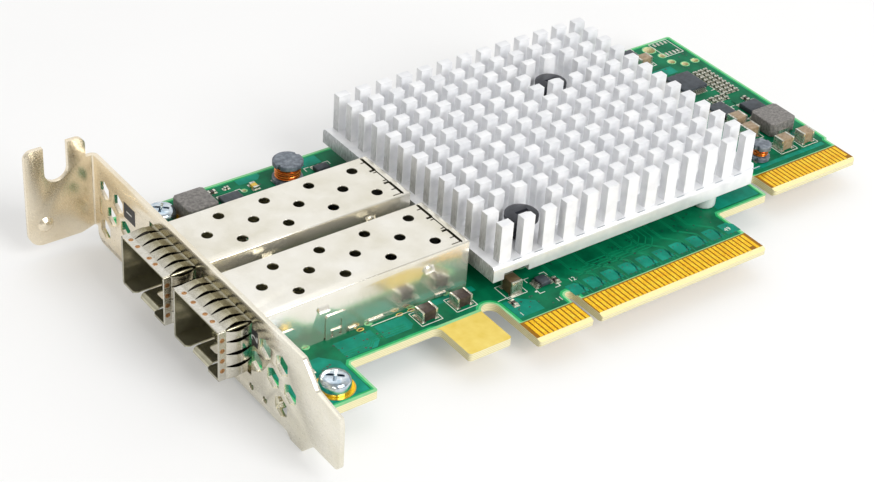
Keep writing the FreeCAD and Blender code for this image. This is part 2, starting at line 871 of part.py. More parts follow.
def make_cage_collar(centre):
    """Spring strips on all four sides of the mouth; the bottom one leaves the latch free."""
    t = collar_sheet
    half = cage_width / 2
    across = at(0, 1, 0)
    up = at(0, 0, 1)
    strips = []
    for z, way in ((cage_height, 1), (0, -1)):
        strips.append(collar_strip(lambda x, h, z=z, way=way: at(x, centre - half - t, z + way * h), cage_width,
                                   across, collar_top_fingers, lambda along, wide, tall: at(along, wide, tall)))
    for way in (-1, 1):
        strips.append(collar_strip(lambda x, h, way=way: at(x, centre + way * (half + h), -t), cage_height,
                                   up, collar_side_fingers, lambda along, wide, tall: at(along, tall, wide)))
    gap = block_about(cage_front, centre, -3 * collar_bulge, 3 * collar_length, latch_notch + 2 * collar_slit,
                      3 * collar_bulge)
    strips[1] = strips[1].cut(gap)
    return join(strips)


# ---- sockets ----
def make_socket(centre):
    rear = socket_rear
    front = socket_front
    body = block(front, rear, centre - socket_width / 2, centre + socket_width / 2, 0, socket_height)
    nose = [e for e in body.Edges if abs(e.BoundBox.XMax - front) < 1e-6 and e.BoundBox.YLength > 1]
    body = body.makeChamfer(socket_chamfer, nose)
    slot = block(front - 1, front + socket_slot_depth, centre - socket_slot_width / 2,
                 centre + socket_slot_width / 2, socket_slot_z, socket_slot_z + socket_slot_height)
    rear_relief = block(rear - socket_relief_depth, rear + 1, centre - socket_slot_width / 2,
                        centre + socket_slot_width / 2, -1, socket_relief_height)
    return body.cut(group([slot, rear_relief]))


def make_socket_contacts(centre):
    """Upper and lower rows of spring contacts along the socket's slot."""
    rear = socket_rear
    front = socket_front
    t = socket_contact_sheet
    contacts = []
    for i in range(socket_contacts):
        y = centre + (i - (socket_contacts - 1) / 2) * socket_contact_pitch
        for z in (socket_slot_z, socket_slot_z + socket_slot_height - t):
            contacts.append(block(front + socket_contact_set_back, front + socket_slot_depth,
                                  y - socket_contact_width / 2, y + socket_contact_width / 2, z, z + t))
        contacts.append(block(rear - socket_tail_inside, rear + socket_tail_outside, y - socket_contact_width / 2,
                              y + socket_contact_width / 2, 0, t))
    return group(contacts)


# ---- controller, thermal pad, heat sink, push pins ----
def make_controller_substrate():
    x, y = controller_centre
    return block_about(x, y, 0, substrate_side, substrate_side, substrate_thickness)


def make_controller_lid():
    x, y = controller_centre
    lid = block_about(x, y, substrate_thickness, lid_side, lid_side, lid_thickness)
    upright = [e for e in lid.Edges if e.BoundBox.ZLength > lid_thickness / 2]
    return lid.makeFillet(lid_corner_radius, upright)


def make_thermal_pad():
    x, y = controller_centre
    return block_about(x, y, controller_height, pad_side, pad_side, pad_thickness)


def fin_channels(first, pitch, size, count):
    """Clear runs between the rows of fins."""
    return [(first + i * pitch + size / 2, first + (i + 1) * pitch - size / 2) for i in range(count - 1)]


def make_heat_sink():
    left = fin_first_x - fin_length / 2
    right = fin_first_x + (fins_x - 1) * fin_pitch_x + fin_length / 2
    front = fin_first_y - fin_depth / 2
    back = fin_first_y + (fins_y - 1) * fin_pitch_y + fin_depth / 2
    fins = block(left, right, front, back, base_top - 1, fin_top)
    cutters = []
    for a, b in fin_channels(fin_first_x, fin_pitch_x, fin_length, fins_x):
        cutters.append(block(a, b, front - 1, back + 1, base_top, fin_top + 1))
    for a, b in fin_channels(fin_first_y, fin_pitch_y, fin_depth, fins_y):
        cutters.append(block(left - 1, right + 1, a, b, base_top, fin_top + 1))
    for x, y in push_pin_places:
        cutters.append(rod(head_radius + head_pocket, x, y, base_top, fin_top + 1))
    fins = fins.cut(group(cutters))
    base = block(base_left, base_right, base_front, base_back, base_bottom, base_top)
    corner = [e for e in base.Edges if e.BoundBox.ZLength > 1 and abs(e.BoundBox.XMin - base_right) < 1e-6]
    base = base.makeChamfer(base_corner_chamfer, corner)
    long_top = [e for e in base.Edges
                if abs(e.BoundBox.ZMin - base_top) < 1e-6 and e.BoundBox.XLength > (base_right - base_left) / 2]
    base = base.makeFillet(base_edge_round, long_top)
    post = rod(post_radius, post_x, post_y, 0, base_bottom + 1)
    post = post.makeFillet(post_round, [e for e in post.Edges if abs(e.BoundBox.ZMax) < 1e-6])
    whole = join([base, fins, post])
    holes = [rod(pin_hole / 2, x, y, base_bottom - 1, base_top + 1) for x, y in push_pin_places]
    holes.append(block(notch_left, notch_left + notch_width, base_front - 1, base_front + notch_reach,
                       base_bottom - 1, base_bottom + notch_rise))
    return whole.cut(group(holes))


def make_push_pins():
    """Moulded pins: domed head, shank through sink and board, split barb below the board."""
    pins = []
    for x, y in push_pin_places:
        shank = pin_shank / 2
        under_head = head_top - head_thickness
        barb_top = board_bottom - barb_neck
        tip = barb_top - barb_length
        profile = [(0, head_top), (head_radius - head_dome_run, head_top), (head_radius, head_top - head_dome),
                   (head_radius, under_head), (shank, under_head), (shank, barb_top),
                   (barb_radius, barb_top), (shank * barb_tip_share, tip), (0, tip)]
        pin = turned(profile, x, y)
        split = block_about(x, y, tip - 1, barb_split, 3 * barb_radius, barb_length + barb_neck + 1)
        slot = block_about(x, y, head_top - driver_slot_depth, driver_slot_length, driver_slot_width, 1)
        pins.append(pin.cut(group([split, slot])))
    return group(pins)


def spring_section(x, y, z, angle, radius):
    """Section of the spring wire, square to the coil at this angle."""
    out = at(math.cos(angle), math.sin(angle), 0)
    centre = at(x, y, z) + out * radius
    corners = []
    for i in range(spring_side_count):
        turn = 2 * math.pi * i / spring_side_count
        corners.append(centre + out * (spring_wire / 2 * math.cos(turn)) + at(0, 0, spring_wire / 2 * math.sin(turn)))
    return Part.makePolygon(corners + [corners[0]])


def make_springs():
    """Open coils under the pins' heads, standing on the heat sink's base."""
    low = base_top + spring_wire / 2 + spring_seat
    high = head_top - head_thickness - spring_wire / 2 - spring_seat
    steps = round(spring_turns * spring_step_count)
    springs = []
    for x, y in push_pin_places:
        sections = []
        for i in range(steps + 1):
            share = i / steps
            angle = 2 * math.pi * spring_turns * share
            sections.append(spring_section(x, y, low + share * (high - low), angle, spring_radius))
        springs.append(Part.makeLoft(sections, True, True))
    return group(springs)


# ---- wound parts ----
def make_choke(spec):
    x, y, length, width, height = spec
    body = block_about(x, y, choke_foot, length, width, height - choke_foot)
    upright = [e for e in body.Edges if e.BoundBox.ZLength > height / 2]
    body = body.makeChamfer(choke_chamfer, upright)
    rim = [e for e in body.Edges if abs(e.BoundBox.ZMin - height) < 1e-6]
    return body.makeChamfer(choke_foot, rim)


def make_choke_terminals(spec):
    x, y, length, width, height = spec
    t = terminal_sheet
    parts = []
    for way in (-1, 1):
        face = y + way * width / 2
        clip = block_about(x, face + way * t / 2, 0, length * terminal_share, t, terminal_rise)
        foot = block_about(x, face - way * (width / 8 - t / 2), 0, length * terminal_share, width / 4 + t, choke_foot)
        parts.append(join([clip, foot]))
    return group(parts)


def make_drum_core(spec):
    """Ferrite bobbin: two flanges on a core, notched on two sides for the wire ends."""
    x, y, diameter, height = spec
    r = diameter / 2
    core = r * drum_core_share
    upper = height - drum_flange
    profile = [(0, drum_foot), (r, drum_foot), (r, drum_flange), (core, drum_flange), (core, upper), (r, upper),
               (r, height - drum_edge), (r - drum_edge, height), (0, height)]
    drum = turned(profile, x, y)
    angle = math.radians(drum_notch_angle)
    notches = [rod(drum_notch / 2, x + way * r * math.cos(angle), y + way * r * math.sin(angle), -1, height + 1)
               for way in (-1, 1)]
    return drum.cut(group(notches))


def make_drum_winding(spec):
    """Enamelled wire between the flanges, its turns showing as rings."""
    x, y, diameter, height = spec
    inner = diameter / 2 * drum_core_share
    outer = diameter / 2 - drum_winding_inset
    low = drum_flange
    turn = (height - 2 * drum_flange) / winding_ring_count
    profile = [(inner, low)]
    for i in range(winding_ring_count):
        profile.append((outer - turn / 2, low + turn * i))
        profile.append((outer, low + turn * (i + 0.5)))
    profile.append((outer - turn / 2, height - drum_flange))
    profile.append((inner, height - drum_flange))
    return turned(profile, x, y)


def make_drum_pads(spec):
    """Two solder feet under the lower flange."""
    x, y, diameter, height = spec
    r = diameter / 2
    pads = []
    for way in (-1, 1):
        pads.append(block_about(x + way * r * drum_foot_place, y, 0, r * drum_foot_length, r * drum_foot_width,
                                drum_foot))
    return group(pads)


# ---- chip parts ----
def chip_block(x, y, z, shift, length, width, height, axis):
    """Block of a chip part, moved along the part's axis by shift."""
    if axis == "X":
        return block_about(x + shift, y, z, length, width, height)
    return block_about(x, y + shift, z, width, length, height)


def make_chip(spec):
    """Body of a two-terminal chip, between its terminals and a skin's thickness inside them."""
    x, y, length, width, height, axis = spec
    skin = terminal_skin
    return chip_block(x, y, skin, 0, length - 2 * terminal_wrap, width - 2 * skin, height - 2 * skin, axis)


def make_chip_terminals(spec):
    x, y, length, width, height, axis = spec
    shift = (length - terminal_wrap) / 2
    return [chip_block(x, y, 0, way * shift, terminal_wrap, width, height, axis) for way in (-1, 1)]


def chip_set(specs):
    return group([make_chip(s) for s in specs])


def chip_set_terminals(specs):
    return group([cap for s in specs for cap in make_chip_terminals(s)])


def small_chips():
    chips = [(x, y, length, width, chip_height, axis) for x, y, length, width, axis in chip_singles]
    for first_x, first_y, pitch_x, pitch_y, columns, rows in chip_banks:
        for i in range(columns):
            for j in range(rows):
                x = first_x + i * pitch_x
                y = first_y + j * pitch_y
                chips.append((x, y, chip_bank_size[0], chip_bank_size[1], chip_height, "X"))
    return chips


def led_chips():
    return [(x, y, length, width, led_height, axis) for x, y, length, width, axis in status_leds]


def make_window_leds():
    """Right-angle lights under the board, behind the bracket's two small windows."""
    length, width, height = window_led_size
    return group([block_about(window_leds_x, y, board_bottom - height, length, width, height) for y in led_windows])


# ---- leaded packages ----
def make_package(spec):
    x, y, length, width, height, _, _, _ = spec
    body = block_about(x, y, standoff, length, width, height - standoff)
    rim = [e for e in body.Edges if abs(e.BoundBox.ZMin - height) < 1e-6]
    return body.makeChamfer(package_chamfer, rim)


def make_leads(spec):
    """Gull-wing leads: a shoulder out of the body, a leg and a foot on the board."""
    x, y, length, width, height, count, pitch, sides = spec
    t = lead_sheet
    half = pitch * lead_share / 2
    shoulder = standoff + (height - standoff) / 2
    leads = []
    for axis in sides:
        edge = (length if axis == "X" else width) / 2
        for way in (-1, 1):
            for i in range(count):
                along = (i - (count - 1) / 2) * pitch
                knee = edge + lead_reach * lead_knee_share
                toe = edge + lead_reach
                corners = [(edge, shoulder), (knee + t, shoulder), (knee + t, t), (toe, t), (toe, 0), (knee, 0),
                           (knee, shoulder - t), (edge, shoulder - t)]
                if axis == "X":
                    points = [at(x + way * a, y + along - half, z) for a, z in corners]
                    run = at(0, 2 * half, 0)
                else:
                    points = [at(x + along - half, y + way * a, z) for a, z in corners]
                    run = at(2 * half, 0, 0)
                leads.append(Part.Face(Part.makePolygon(points + [points[0]])).extrude(run))
    return group(leads)


# ---- the whole card, node by node ----
def build():
    nodes = {
        "circuit_board": make_board(),
        "edge_contacts": make_edge_contacts(),
        "tail_contacts": make_tail_contacts(),
        "screw_lands": make_screw_lands(),
        "mounting_bracket": make_bracket(),
        "bracket_screws": make_bracket_screws(),
        "heat_sink": make_heat_sink(),
        "thermal_pad": make_thermal_pad(),
        "controller_substrate": make_controller_substrate(),
        "controller_lid": make_controller_lid(),
        "push_pins": make_push_pins(),
        "push_pin_springs": make_springs(),
        "left_choke_body": make_choke(left_choke),
        "left_choke_terminals": make_choke_terminals(left_choke),
        "right_choke_body": make_choke(right_choke),
        "right_choke_terminals": make_choke_terminals(right_choke),
        "drum_inductor_core": make_drum_core(drum_large),
        "drum_inductor_winding": make_drum_winding(drum_large),
        "drum_inductor_feet": make_drum_pads(drum_large),
        "small_drum_core": make_drum_core(drum_small),
        "small_drum_winding": make_drum_winding(drum_small),
        "small_drum_feet": make_drum_pads(drum_small),
        "ferrite_bead_bodies": chip_set(ferrite_beads),
        "ferrite_bead_terminals": chip_set_terminals(ferrite_beads),
        "bulk_capacitor_bodies": chip_set(bulk_capacitors),
        "bulk_capacitor_terminals": chip_set_terminals(bulk_capacitors),
        "small_chip_bodies": chip_set(small_chips()),
        "small_chip_terminals": chip_set_terminals(small_chips()),
        "status_led_bodies": chip_set(led_chips()),
        "status_led_terminals": chip_set_terminals(led_chips()),
        "window_leds": make_window_leds(),
    }
    for port, centre in cage_centres.items():
        nodes["cage_" + port + "_shell"] = make_cage_shell(centre)
        nodes["cage_" + port + "_floor"] = make_cage_floor(centre)
        nodes["cage_" + port + "_collar"] = make_cage_collar(centre)
        nodes["socket_" + port + "_body"] = make_socket(centre)
        nodes["socket_" + port + "_contacts"] = make_socket_contacts(centre)
    for name, spec in packages.items():
        nodes[name + "_body"] = make_package(spec)
        nodes[name + "_leads"] = make_leads(spec)
    return nodes


os.makedirs("parts", exist_ok=True)
for name, shape in build().items():
    shape.exportStep("parts/" + name + ".step")
    print(name, "solids", len(shape.Solids), "valid", shape.isValid(), "volume", round(shape.Volume, 3))
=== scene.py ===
import json
import math
import random

import bmesh
import bpy
from mathutils import Matrix, Vector


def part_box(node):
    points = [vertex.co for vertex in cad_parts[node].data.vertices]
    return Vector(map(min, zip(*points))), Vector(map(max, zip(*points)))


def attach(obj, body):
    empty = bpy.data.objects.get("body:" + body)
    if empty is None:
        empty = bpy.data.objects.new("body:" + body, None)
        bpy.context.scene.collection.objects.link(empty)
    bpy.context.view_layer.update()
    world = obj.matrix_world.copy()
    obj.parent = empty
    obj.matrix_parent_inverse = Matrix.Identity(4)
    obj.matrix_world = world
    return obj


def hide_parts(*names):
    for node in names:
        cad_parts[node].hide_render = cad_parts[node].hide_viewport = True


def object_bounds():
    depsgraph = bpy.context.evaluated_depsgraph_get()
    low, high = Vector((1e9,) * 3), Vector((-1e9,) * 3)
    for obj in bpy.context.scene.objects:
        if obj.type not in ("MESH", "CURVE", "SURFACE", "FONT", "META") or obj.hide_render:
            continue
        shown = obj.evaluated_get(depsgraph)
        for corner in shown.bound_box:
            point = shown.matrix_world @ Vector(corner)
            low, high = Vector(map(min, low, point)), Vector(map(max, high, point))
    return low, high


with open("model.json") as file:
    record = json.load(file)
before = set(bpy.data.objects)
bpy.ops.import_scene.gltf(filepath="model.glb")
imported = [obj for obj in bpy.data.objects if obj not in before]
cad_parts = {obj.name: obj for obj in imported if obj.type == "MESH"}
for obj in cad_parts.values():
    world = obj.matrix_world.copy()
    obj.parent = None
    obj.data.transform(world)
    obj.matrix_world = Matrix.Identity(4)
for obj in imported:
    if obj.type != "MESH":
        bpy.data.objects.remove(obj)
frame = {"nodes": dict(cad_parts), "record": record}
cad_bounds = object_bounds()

# Looks of the two-port network interface card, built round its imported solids. Sizes are in
# millimetres, and mm turns them into the scene's metres.
mm = 0.001
nodes = frame["nodes"]

cage_half = 7.0
cage_roof = 9.55


# ---- colour and nodes ----
def linear(code):
    """sRGB hex to linear RGBA."""
    channels = [int(code[i:i + 2], 16) / 255 for i in (1, 3, 5)]
    return [c / 12.92 if c <= 0.04045 else ((c + 0.055) / 1.055) ** 2.4 for c in channels] + [1.0]


def add(tree, kind, inputs=(), stops=(), **settings):
    """New node with its settings and links.

    Inputs go by name or in order; each is a value, an output, or a node for its first output. Stops
    are a colour ramp's, as (position, hex). A colour Mix has its share in input 0, its colours in 6
    and 7, and its result in output 2.
    """
    made = tree.nodes.new("ShaderNode" + kind)
    for name, value in settings.items():
        setattr(made, name, value)
    for key, value in inputs.items() if isinstance(inputs, dict) else enumerate(inputs):
        if isinstance(value, bpy.types.Node):
            value = value.outputs[0]
        if isinstance(value, bpy.types.NodeSocket):
            tree.links.new(value, made.inputs[key])
        else:
            made.inputs[key].default_value = value
    if stops:
        band = made.color_ramp.elements
        while len(band) < len(stops):
            band.new(0.5)
        for element, (place, code) in zip(band, stops):
            element.position = place
            element.color = linear(code)
    return made


def new_material(name):
    """Empty material, its node tree and its object coordinates in millimetres."""
    made = bpy.data.materials.new(name)
    made.use_nodes = True
    tree = made.node_tree
    tree.nodes.clear()
    here = add(tree, "TexCoord").outputs["Object"]
    return made, tree, add(tree, "Mapping", {"Vector": here, "Scale": [1 / mm] * 3})


def blotched(tree, place, size, tones, start=0.3, end=0.7):
    """Tones that drift into each other in patches about size millimetres across."""
    patches = add(tree, "TexNoise", {"Vector": place, "Scale": 1 / size, "Detail": 3.0})
    step = (end - start) / max(1, len(tones) - 1)
    return add(tree, "ValToRGB", [patches], [(start + step * i, tone) for i, tone in enumerate(tones)])


def grained(tree, place, size, stretch=(1, 1, 1), detail=4.0):
    """Grain about size millimetres across, drawn out where the metal was rolled, rubbed or sawn."""
    drawn = add(tree, "Mapping", {"Vector": place, "Scale": [1 / s for s in stretch]})
    return add(tree, "TexNoise", {"Vector": drawn, "Scale": 1 / size, "Detail": detail})


def facing(tree, axis):
    """How squarely the surface faces along an axis, from 0 to 1."""
    turned = add(tree, "SeparateXYZ", [add(tree, "NewGeometry").outputs["Normal"]])
    return add(tree, "Math", [turned.outputs[axis]], operation="ABSOLUTE")


def zone(tree, where, **limits):
    """1 where each coordinate lies between its limits in millimetres, else 0; None is an open end."""
    inside = None
    for axis, ends in limits.items():
        for limit, test in zip(ends, ("GREATER_THAN", "LESS_THAN")):
            if limit is not None:
                here = add(tree, "Math", [where.outputs[axis], limit], operation=test)
                if inside is not None:
                    here = add(tree, "Math", [inside, here], operation="MULTIPLY")
                inside = here
    return inside


def surface(made, colour, roughness, height, depth, **sockets):
    """Principled surface; depth is the bump's height in millimetres, and a pair for the roughness is
    the range over which the height's pattern moves it."""
    tree = made.node_tree
    if isinstance(roughness, tuple):
        roughness = add(tree, "MapRange", [height, 0.3, 0.7, *roughness])
    bump = add(tree, "Bump", {"Height": height, "Distance": depth * mm, "Strength": 1.0})
    sockets.update({"Base Color": colour, "Roughness": roughness, "Normal": bump})
    add(tree, "OutputMaterial", [add(tree, "BsdfPrincipled", sockets)])
    return made


def finish(name, tones, roughness, mottle=2.0, grain=0.2, depth=0.004, stretch=(1, 1, 1), **sockets):
    """Plain finish: tones blotched over mottle mm, and a fine grain that moves gloss and height."""
    made, tree, place = new_material(name)
    return surface(made, blotched(tree, place, mottle, tones), roughness,
                   grained(tree, place, grain, stretch), depth, **sockets)


# ---- shapes ----
def placed(name, data):
    """New object in the scene."""
    made = bpy.data.objects.new(name, data)
    bpy.context.collection.objects.link(made)
    return made


def mesh_of(name, bm):
    """A bmesh as a mesh; the bmesh is freed."""
    mesh = bpy.data.meshes.new(name)
    bm.to_mesh(mesh)
    bm.free()
    return mesh


def piece(name, bm, coat, replaces=()):
    """Finished mesh as a piece that rides on the card; its slot is its coat."""
    bmesh.ops.recalc_face_normals(bm, faces=bm.faces)
    for face in bm.faces:
        face.smooth = True
    for edge in bm.edges:
        edge.smooth = edge.is_manifold and edge.calc_face_angle(0) < math.radians(35)
    made = placed(name, mesh_of(name, bm))
    made.data.materials.append(finishes[coat])
    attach(made, "root")
    if replaces:
        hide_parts(*replaces)


def merged(node):
    """A node's solid as one clean mesh: its triangles joined and its flat runs made whole."""
    bm = bmesh.new()
    bm.from_mesh(nodes[node].data)
    bmesh.ops.remove_doubles(bm, verts=bm.verts, dist=0.0005 * mm)
    bmesh.ops.dissolve_limit(bm, angle_limit=math.radians(0.6), verts=bm.verts, edges=bm.edges)
    return bm


def soften(bm, width, segments=2, edges=None):
    """Small rounds on the sharp edges, as plating, moulding or shearing leaves them."""
    if edges is None:
        edges = [e for e in bm.edges if e.is_manifold and e.calc_face_angle(0) > math.radians(32)]
    bmesh.ops.bevel(bm, geom=edges, offset=width * mm, segments=segments, profile=0.5,
                    affect="EDGES", material=-1, clamp_overlap=True)


def softened(node, width, coat, segments=2):
    """A finished copy of a node, rounded and in place of it."""
    bm = merged(node)
    soften(bm, width, segments)
    piece(node + "_finished", bm, coat, replaces=[node])


def lift(bm, faces, height):
    """Extrudes faces straight up, or down where the height is negative."""
    grown = bmesh.ops.extrude_face_region(bm, geom=faces)["geom"]
    tops = [v for v in grown if isinstance(v, bmesh.types.BMVert)]
    bmesh.ops.translate(bm, verts=tops, vec=(0, 0, height * mm))


def slab(bm, corners, low, high):
    """Flat plate from corners (x, y) in millimetres, from low to high."""
    face = bm.faces.new([bm.verts.new((x * mm, y * mm, low * mm)) for x, y in corners])
    lift(bm, [face], high - low)


def brick(bm, x0, x1, y0, y1, z0, z1):
    slab(bm, [(x0, y0), (x1, y0), (x1, y1), (x0, y1)], z0, z1)


def disc(bm, x, y, radius, low, high, sides=16):
    turns = [2 * math.pi * i / sides for i in range(sides)]
    slab(bm, [(x + radius * math.cos(t), y + radius * math.sin(t)) for t in turns], low, high)


def ribbon(bm, points, width, low, high):
    """Flat line of one width through points (x, y), mitred at its bends."""
    left = []
    right = []
    for i, point in enumerate(points):
        here = Vector(point)
        back = (here - Vector(points[i - 1])).normalized() if i else None
        ahead = (Vector(points[i + 1]) - here).normalized() if i + 1 < len(points) else None
        run = ((back or ahead) + (ahead or back)).normalized()
        side = Vector((-run.y, run.x))
        share = side.dot(Vector((-(ahead or back).y, (ahead or back).x)))
        offset = side * (width / 2 / share)
        left.append(tuple(here + offset))
        right.append(tuple(here - offset))
    slab(bm, left + right[::-1], low, high)


def outline(bm, x0, x1, y0, y1, width, low, high):
    """Four lines round a rectangle."""
    corners = [(x0, y0), (x1, y0), (x1, y1), (x0, y1), (x0, y0)]
    for ends in zip(corners, corners[1:]):
        ribbon(bm, ends, width, low, high)


def carved(body, cutter):
    """The first bmesh less the second."""
    bmesh.ops.recalc_face_normals(cutter, faces=cutter.faces)
    whole = placed("whole", mesh_of("whole", body))
    tool = placed("tool", mesh_of("tool", cutter))
    cut = whole.modifiers.new("cut", "BOOLEAN")
    cut.object = tool
    cut.solver = "EXACT"
    cut.use_self = True
    bpy.context.view_layer.update()
    result = bmesh.new()
    result.from_mesh(whole.evaluated_get(bpy.context.evaluated_depsgraph_get()).to_mesh())
    for extra in (whole, tool):
        bpy.data.objects.remove(extra)
    return result


def numeral(text, height, rise, place):
    """A plain numeral made about its own middle, raised and then moved to its place."""
    curve = bpy.data.curves.new("numeral", "FONT")
    curve.body = text
    # a numeral is 0.7 of its font's size
    curve.size = height * mm / 0.7
    curve.align_x = "CENTER"
    curve.align_y = "CENTER"
    holder = placed("numeral", curve)
    bpy.context.view_layer.update()
    bm = bmesh.new()
    bm.from_mesh(bpy.data.meshes.new_from_object(
        holder.evaluated_get(bpy.context.evaluated_depsgraph_get())))
    bpy.data.objects.remove(holder)
    lift(bm, list(bm.faces), rise)
    bm.transform(place)
    return bm


def coil(turns, radius, wire, low, high, centre, steps=24):
    """Round wire wound up a cylinder, as a mesh."""
    curve = bpy.data.curves.new("wire", "CURVE")
    curve.dimensions = "3D"
    curve.bevel_depth = wire / 2 * mm
    curve.bevel_resolution = 3
    curve.use_fill_caps = True
    spline = curve.splines.new("NURBS")
    count = int(turns * steps) + 1
    spline.points.add(count - 1)
    for i, point in enumerate(spline.points):
        angle = 2 * math.pi * i / steps
        height = low + (high - low) * i / (count - 1)
        point.co = ((centre[0] + radius * math.cos(angle)) * mm,
                    (centre[1] + radius * math.sin(angle)) * mm, height * mm, 1)
    spline.order_u = 3
    spline.use_endpoint_u = True
    holder = bpy.data.objects.new("wire", curve)
    mesh = bpy.data.meshes.new_from_object(holder)
    bpy.data.objects.remove(holder)
    return mesh


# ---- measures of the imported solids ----
def box_mm(node):
    """A node's box in millimetres: low corner, high corner."""
    low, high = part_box(node)
    return [c / mm for c in low], [c / mm for c in high]


def middle_of(low, high):
    """Middle of a box seen from above."""
    return (low[0] + high[0]) / 2, (low[1] + high[1]) / 2


def loose_boxes(node):
    """Box in millimetres of each separate solid in a node."""
    bm = merged(node)
    unseen = set(bm.verts)
    boxes = []
    while unseen:
        front = [unseen.pop()]
        group = list(front)
        while front:
            for edge in front.pop().link_edges:
                for vert in edge.verts:
                    if vert in unseen:
                        unseen.remove(vert)
                        front.append(vert)
                        group.append(vert)
        low = [min(v.co[i] for v in group) / mm for i in range(3)]
        high = [max(v.co[i] for v in group) / mm for i in range(3)]
        boxes.append((low, high))
    bm.free()
    return sorted(boxes)


def mouth(port):
    """Front of a cage and the middle of its width."""
    return box_mm("cage_" + port + "_shell")[0][0], middle_of(*box_mm("socket_" + port + "_body"))[1]


# ---- camera, floor and light ----
def set_camera():
    """Long lens, a little under 30 cm from the card, looking down over the bracket's near end."""
    data = bpy.data.cameras.new("camera")
    data.sensor_width = 36.0
    data.lens = 81.995
    data.clip_start = 0.01
    data.clip_end = 20
    camera = placed("camera", data)
    camera.location = (-0.191472, -0.196115, 0.202049)
    camera.rotation_euler = [math.radians(a) for a in (55.2504, -3.3737, -36.0343)]
    bpy.context.scene.camera = camera


def make_floor():
    """Seamless pale table just under the card; it stands for nothing on the card."""
    bm = bmesh.new()
    bmesh.ops.create_grid(bm, x_segments=2, y_segments=2, size=3.0)
    bmesh.ops.translate(bm, verts=bm.verts, vec=(0, 0, cad_bounds[0][2] - 0.02 * mm))
    floor = placed("table", mesh_of("table", bm))
    paper, tree, place = new_material("pale_table_paper")
    # the camera and the card's metal see the table a little lighter than it is lit
    rays = add(tree, "LightPath").outputs
    seen = add(tree, "Math", [rays["Is Camera Ray"], rays["Is Glossy Ray"]], operation="MAXIMUM")
    seen = add(tree, "Math", [seen, rays["Is Transmission Ray"]], operation="MAXIMUM")
    glow = add(tree, "Emission", {"Strength": add(tree, "Math", [seen, 0.27], operation="MULTIPLY")})
    tone = blotched(tree, place, 60, ["#d3d3d3", "#d6d6d6"])
    lit = add(tree, "BsdfPrincipled", {"Base Color": tone, "Roughness": 0.9})
    add(tree, "OutputMaterial", [add(tree, "AddShader", [lit, glow])])
    floor.data.materials.append(paper)


def area_light(name, place, aim, size, power):
    data = bpy.data.lights.new(name, "AREA")
    data.shape = "SQUARE"
    data.size = size
    data.energy = power
    lamp = placed(name, data)
    lamp.location = place
    lamp.rotation_euler = (Vector(aim) - Vector(place)).to_track_quat("-Z", "Y").to_euler()


def set_light():
    """A white tent: bright above and behind, duller and warmer low on the bracket's side."""
    bpy.context.scene.view_settings.view_transform = "Standard"
    world = bpy.data.worlds.new("tent")
    bpy.context.scene.world = world
    world.use_nodes = True
    tree = world.node_tree
    tree.nodes.clear()
    way = add(tree, "VectorMath", [add(tree, "TexCoord").outputs["Generated"], (0.62, 0.78, 0.0)],
              operation="DOT_PRODUCT")
    side = add(tree, "MapRange", [way.outputs["Value"], -0.9, 0.9, 0, 1])
    tone = add(tree, "ValToRGB", [side], [(0.0, "#bbb9b4"), (0.5, "#c2c1bf"), (0.85, "#ffffff")])
    add(tree, "OutputWorld", [add(tree, "Background", {"Color": tone, "Strength": 0.96})])
    area_light("key", (0.15, -0.85, 0.60), (0.0, 0.03, 0), 0.6, 9.0)
    area_light("top", (0.1, 0.35, 0.9), (0.0, 0.03, 0), 0.7, 0.8)


# ---- finishes ----
def layered(tree, colour, *layers):
    """A colour with others laid over it, each (share, colour) on top of the last."""
    for share, over in layers:
        colour = add(tree, "Mix", {0: share, 6: colour, 7: over}, data_type="RGBA").outputs[2]
    return colour


def board_finish():
    """Glossy green solder mask on glass laminate, which shows yellow at cut edges and the guard tab, and
    pale on the bevels below the contacts. Between the contacts it is dark brown, the laminate's own darker
    tone with painted shade of the narrow gaps, and along the mask's edges a pale green that is painted
    highlight."""
    made, tree, place = new_material("solder_mask_on_glass_laminate")
    where = add(tree, "SeparateXYZ", [place])
    # painted highlight: this pale green shows along the board's edges and round its holes, standing in for
    # the light caught by the mask's rounded edge
    mask = blotched(tree, place, 5.0, ["#7cc98a", "#8bd096", "#9bd9a4"], 0.25, 0.75)
    tab = blotched(tree, place, 3.0, ["#e2c559", "#eed778"])
    glass = add(tree, "TexWave", {"Vector": place, "Scale": 0.9, "Distortion": 1.5, "Detail": 2.0},
                bands_direction="Z")
    cut = add(tree, "ValToRGB", [glass.outputs["Fac"]],
              [(0.0, "#d3cb98"), (0.5, "#e3dbb2"), (1.0, "#ede6c6")])
    flat = add(tree, "MapRange", [facing(tree, "Z"), 0.75, 0.85, 0, 1])
    tail = (53.5, None)
    guard = zone(tree, where, X=(-26.4, -14.0), Y=(None, 11.95))
    # painted shade: the laminate between the edge contacts and at the tail turns dark brown, its own
    # darker tone with the shade of the narrow gaps painted in
    contact_gap_shade = [zone(tree, where, X=(-13.0, None), Y=(None, 5.75)),
                zone(tree, where, X=tail, Y=(None, 18.9))]
    bevels = [zone(tree, where, Y=(None, 0.95)), zone(tree, where, X=tail, Y=(None, 14.05))]
    top = layered(tree, mask,
                  (add(tree, "Math", contact_gap_shade, operation="MAXIMUM"), linear("#96660f")),
                  (add(tree, "Math", bevels, operation="MAXIMUM"), linear("#efe4ac")), (guard, tab))
    rough = add(tree, "Mix", {0: flat, 2: 0.62, 3: 0.28}, data_type="FLOAT")
    # woven glass under the mask
    weave = add(tree, "TexChecker", {"Vector": place, "Scale": 1.6}).outputs["Fac"]
    return surface(made, layered(tree, cut, (flat, top)), rough, weave, 0.0015,
                   **{"Specular IOR Level": 0.12})


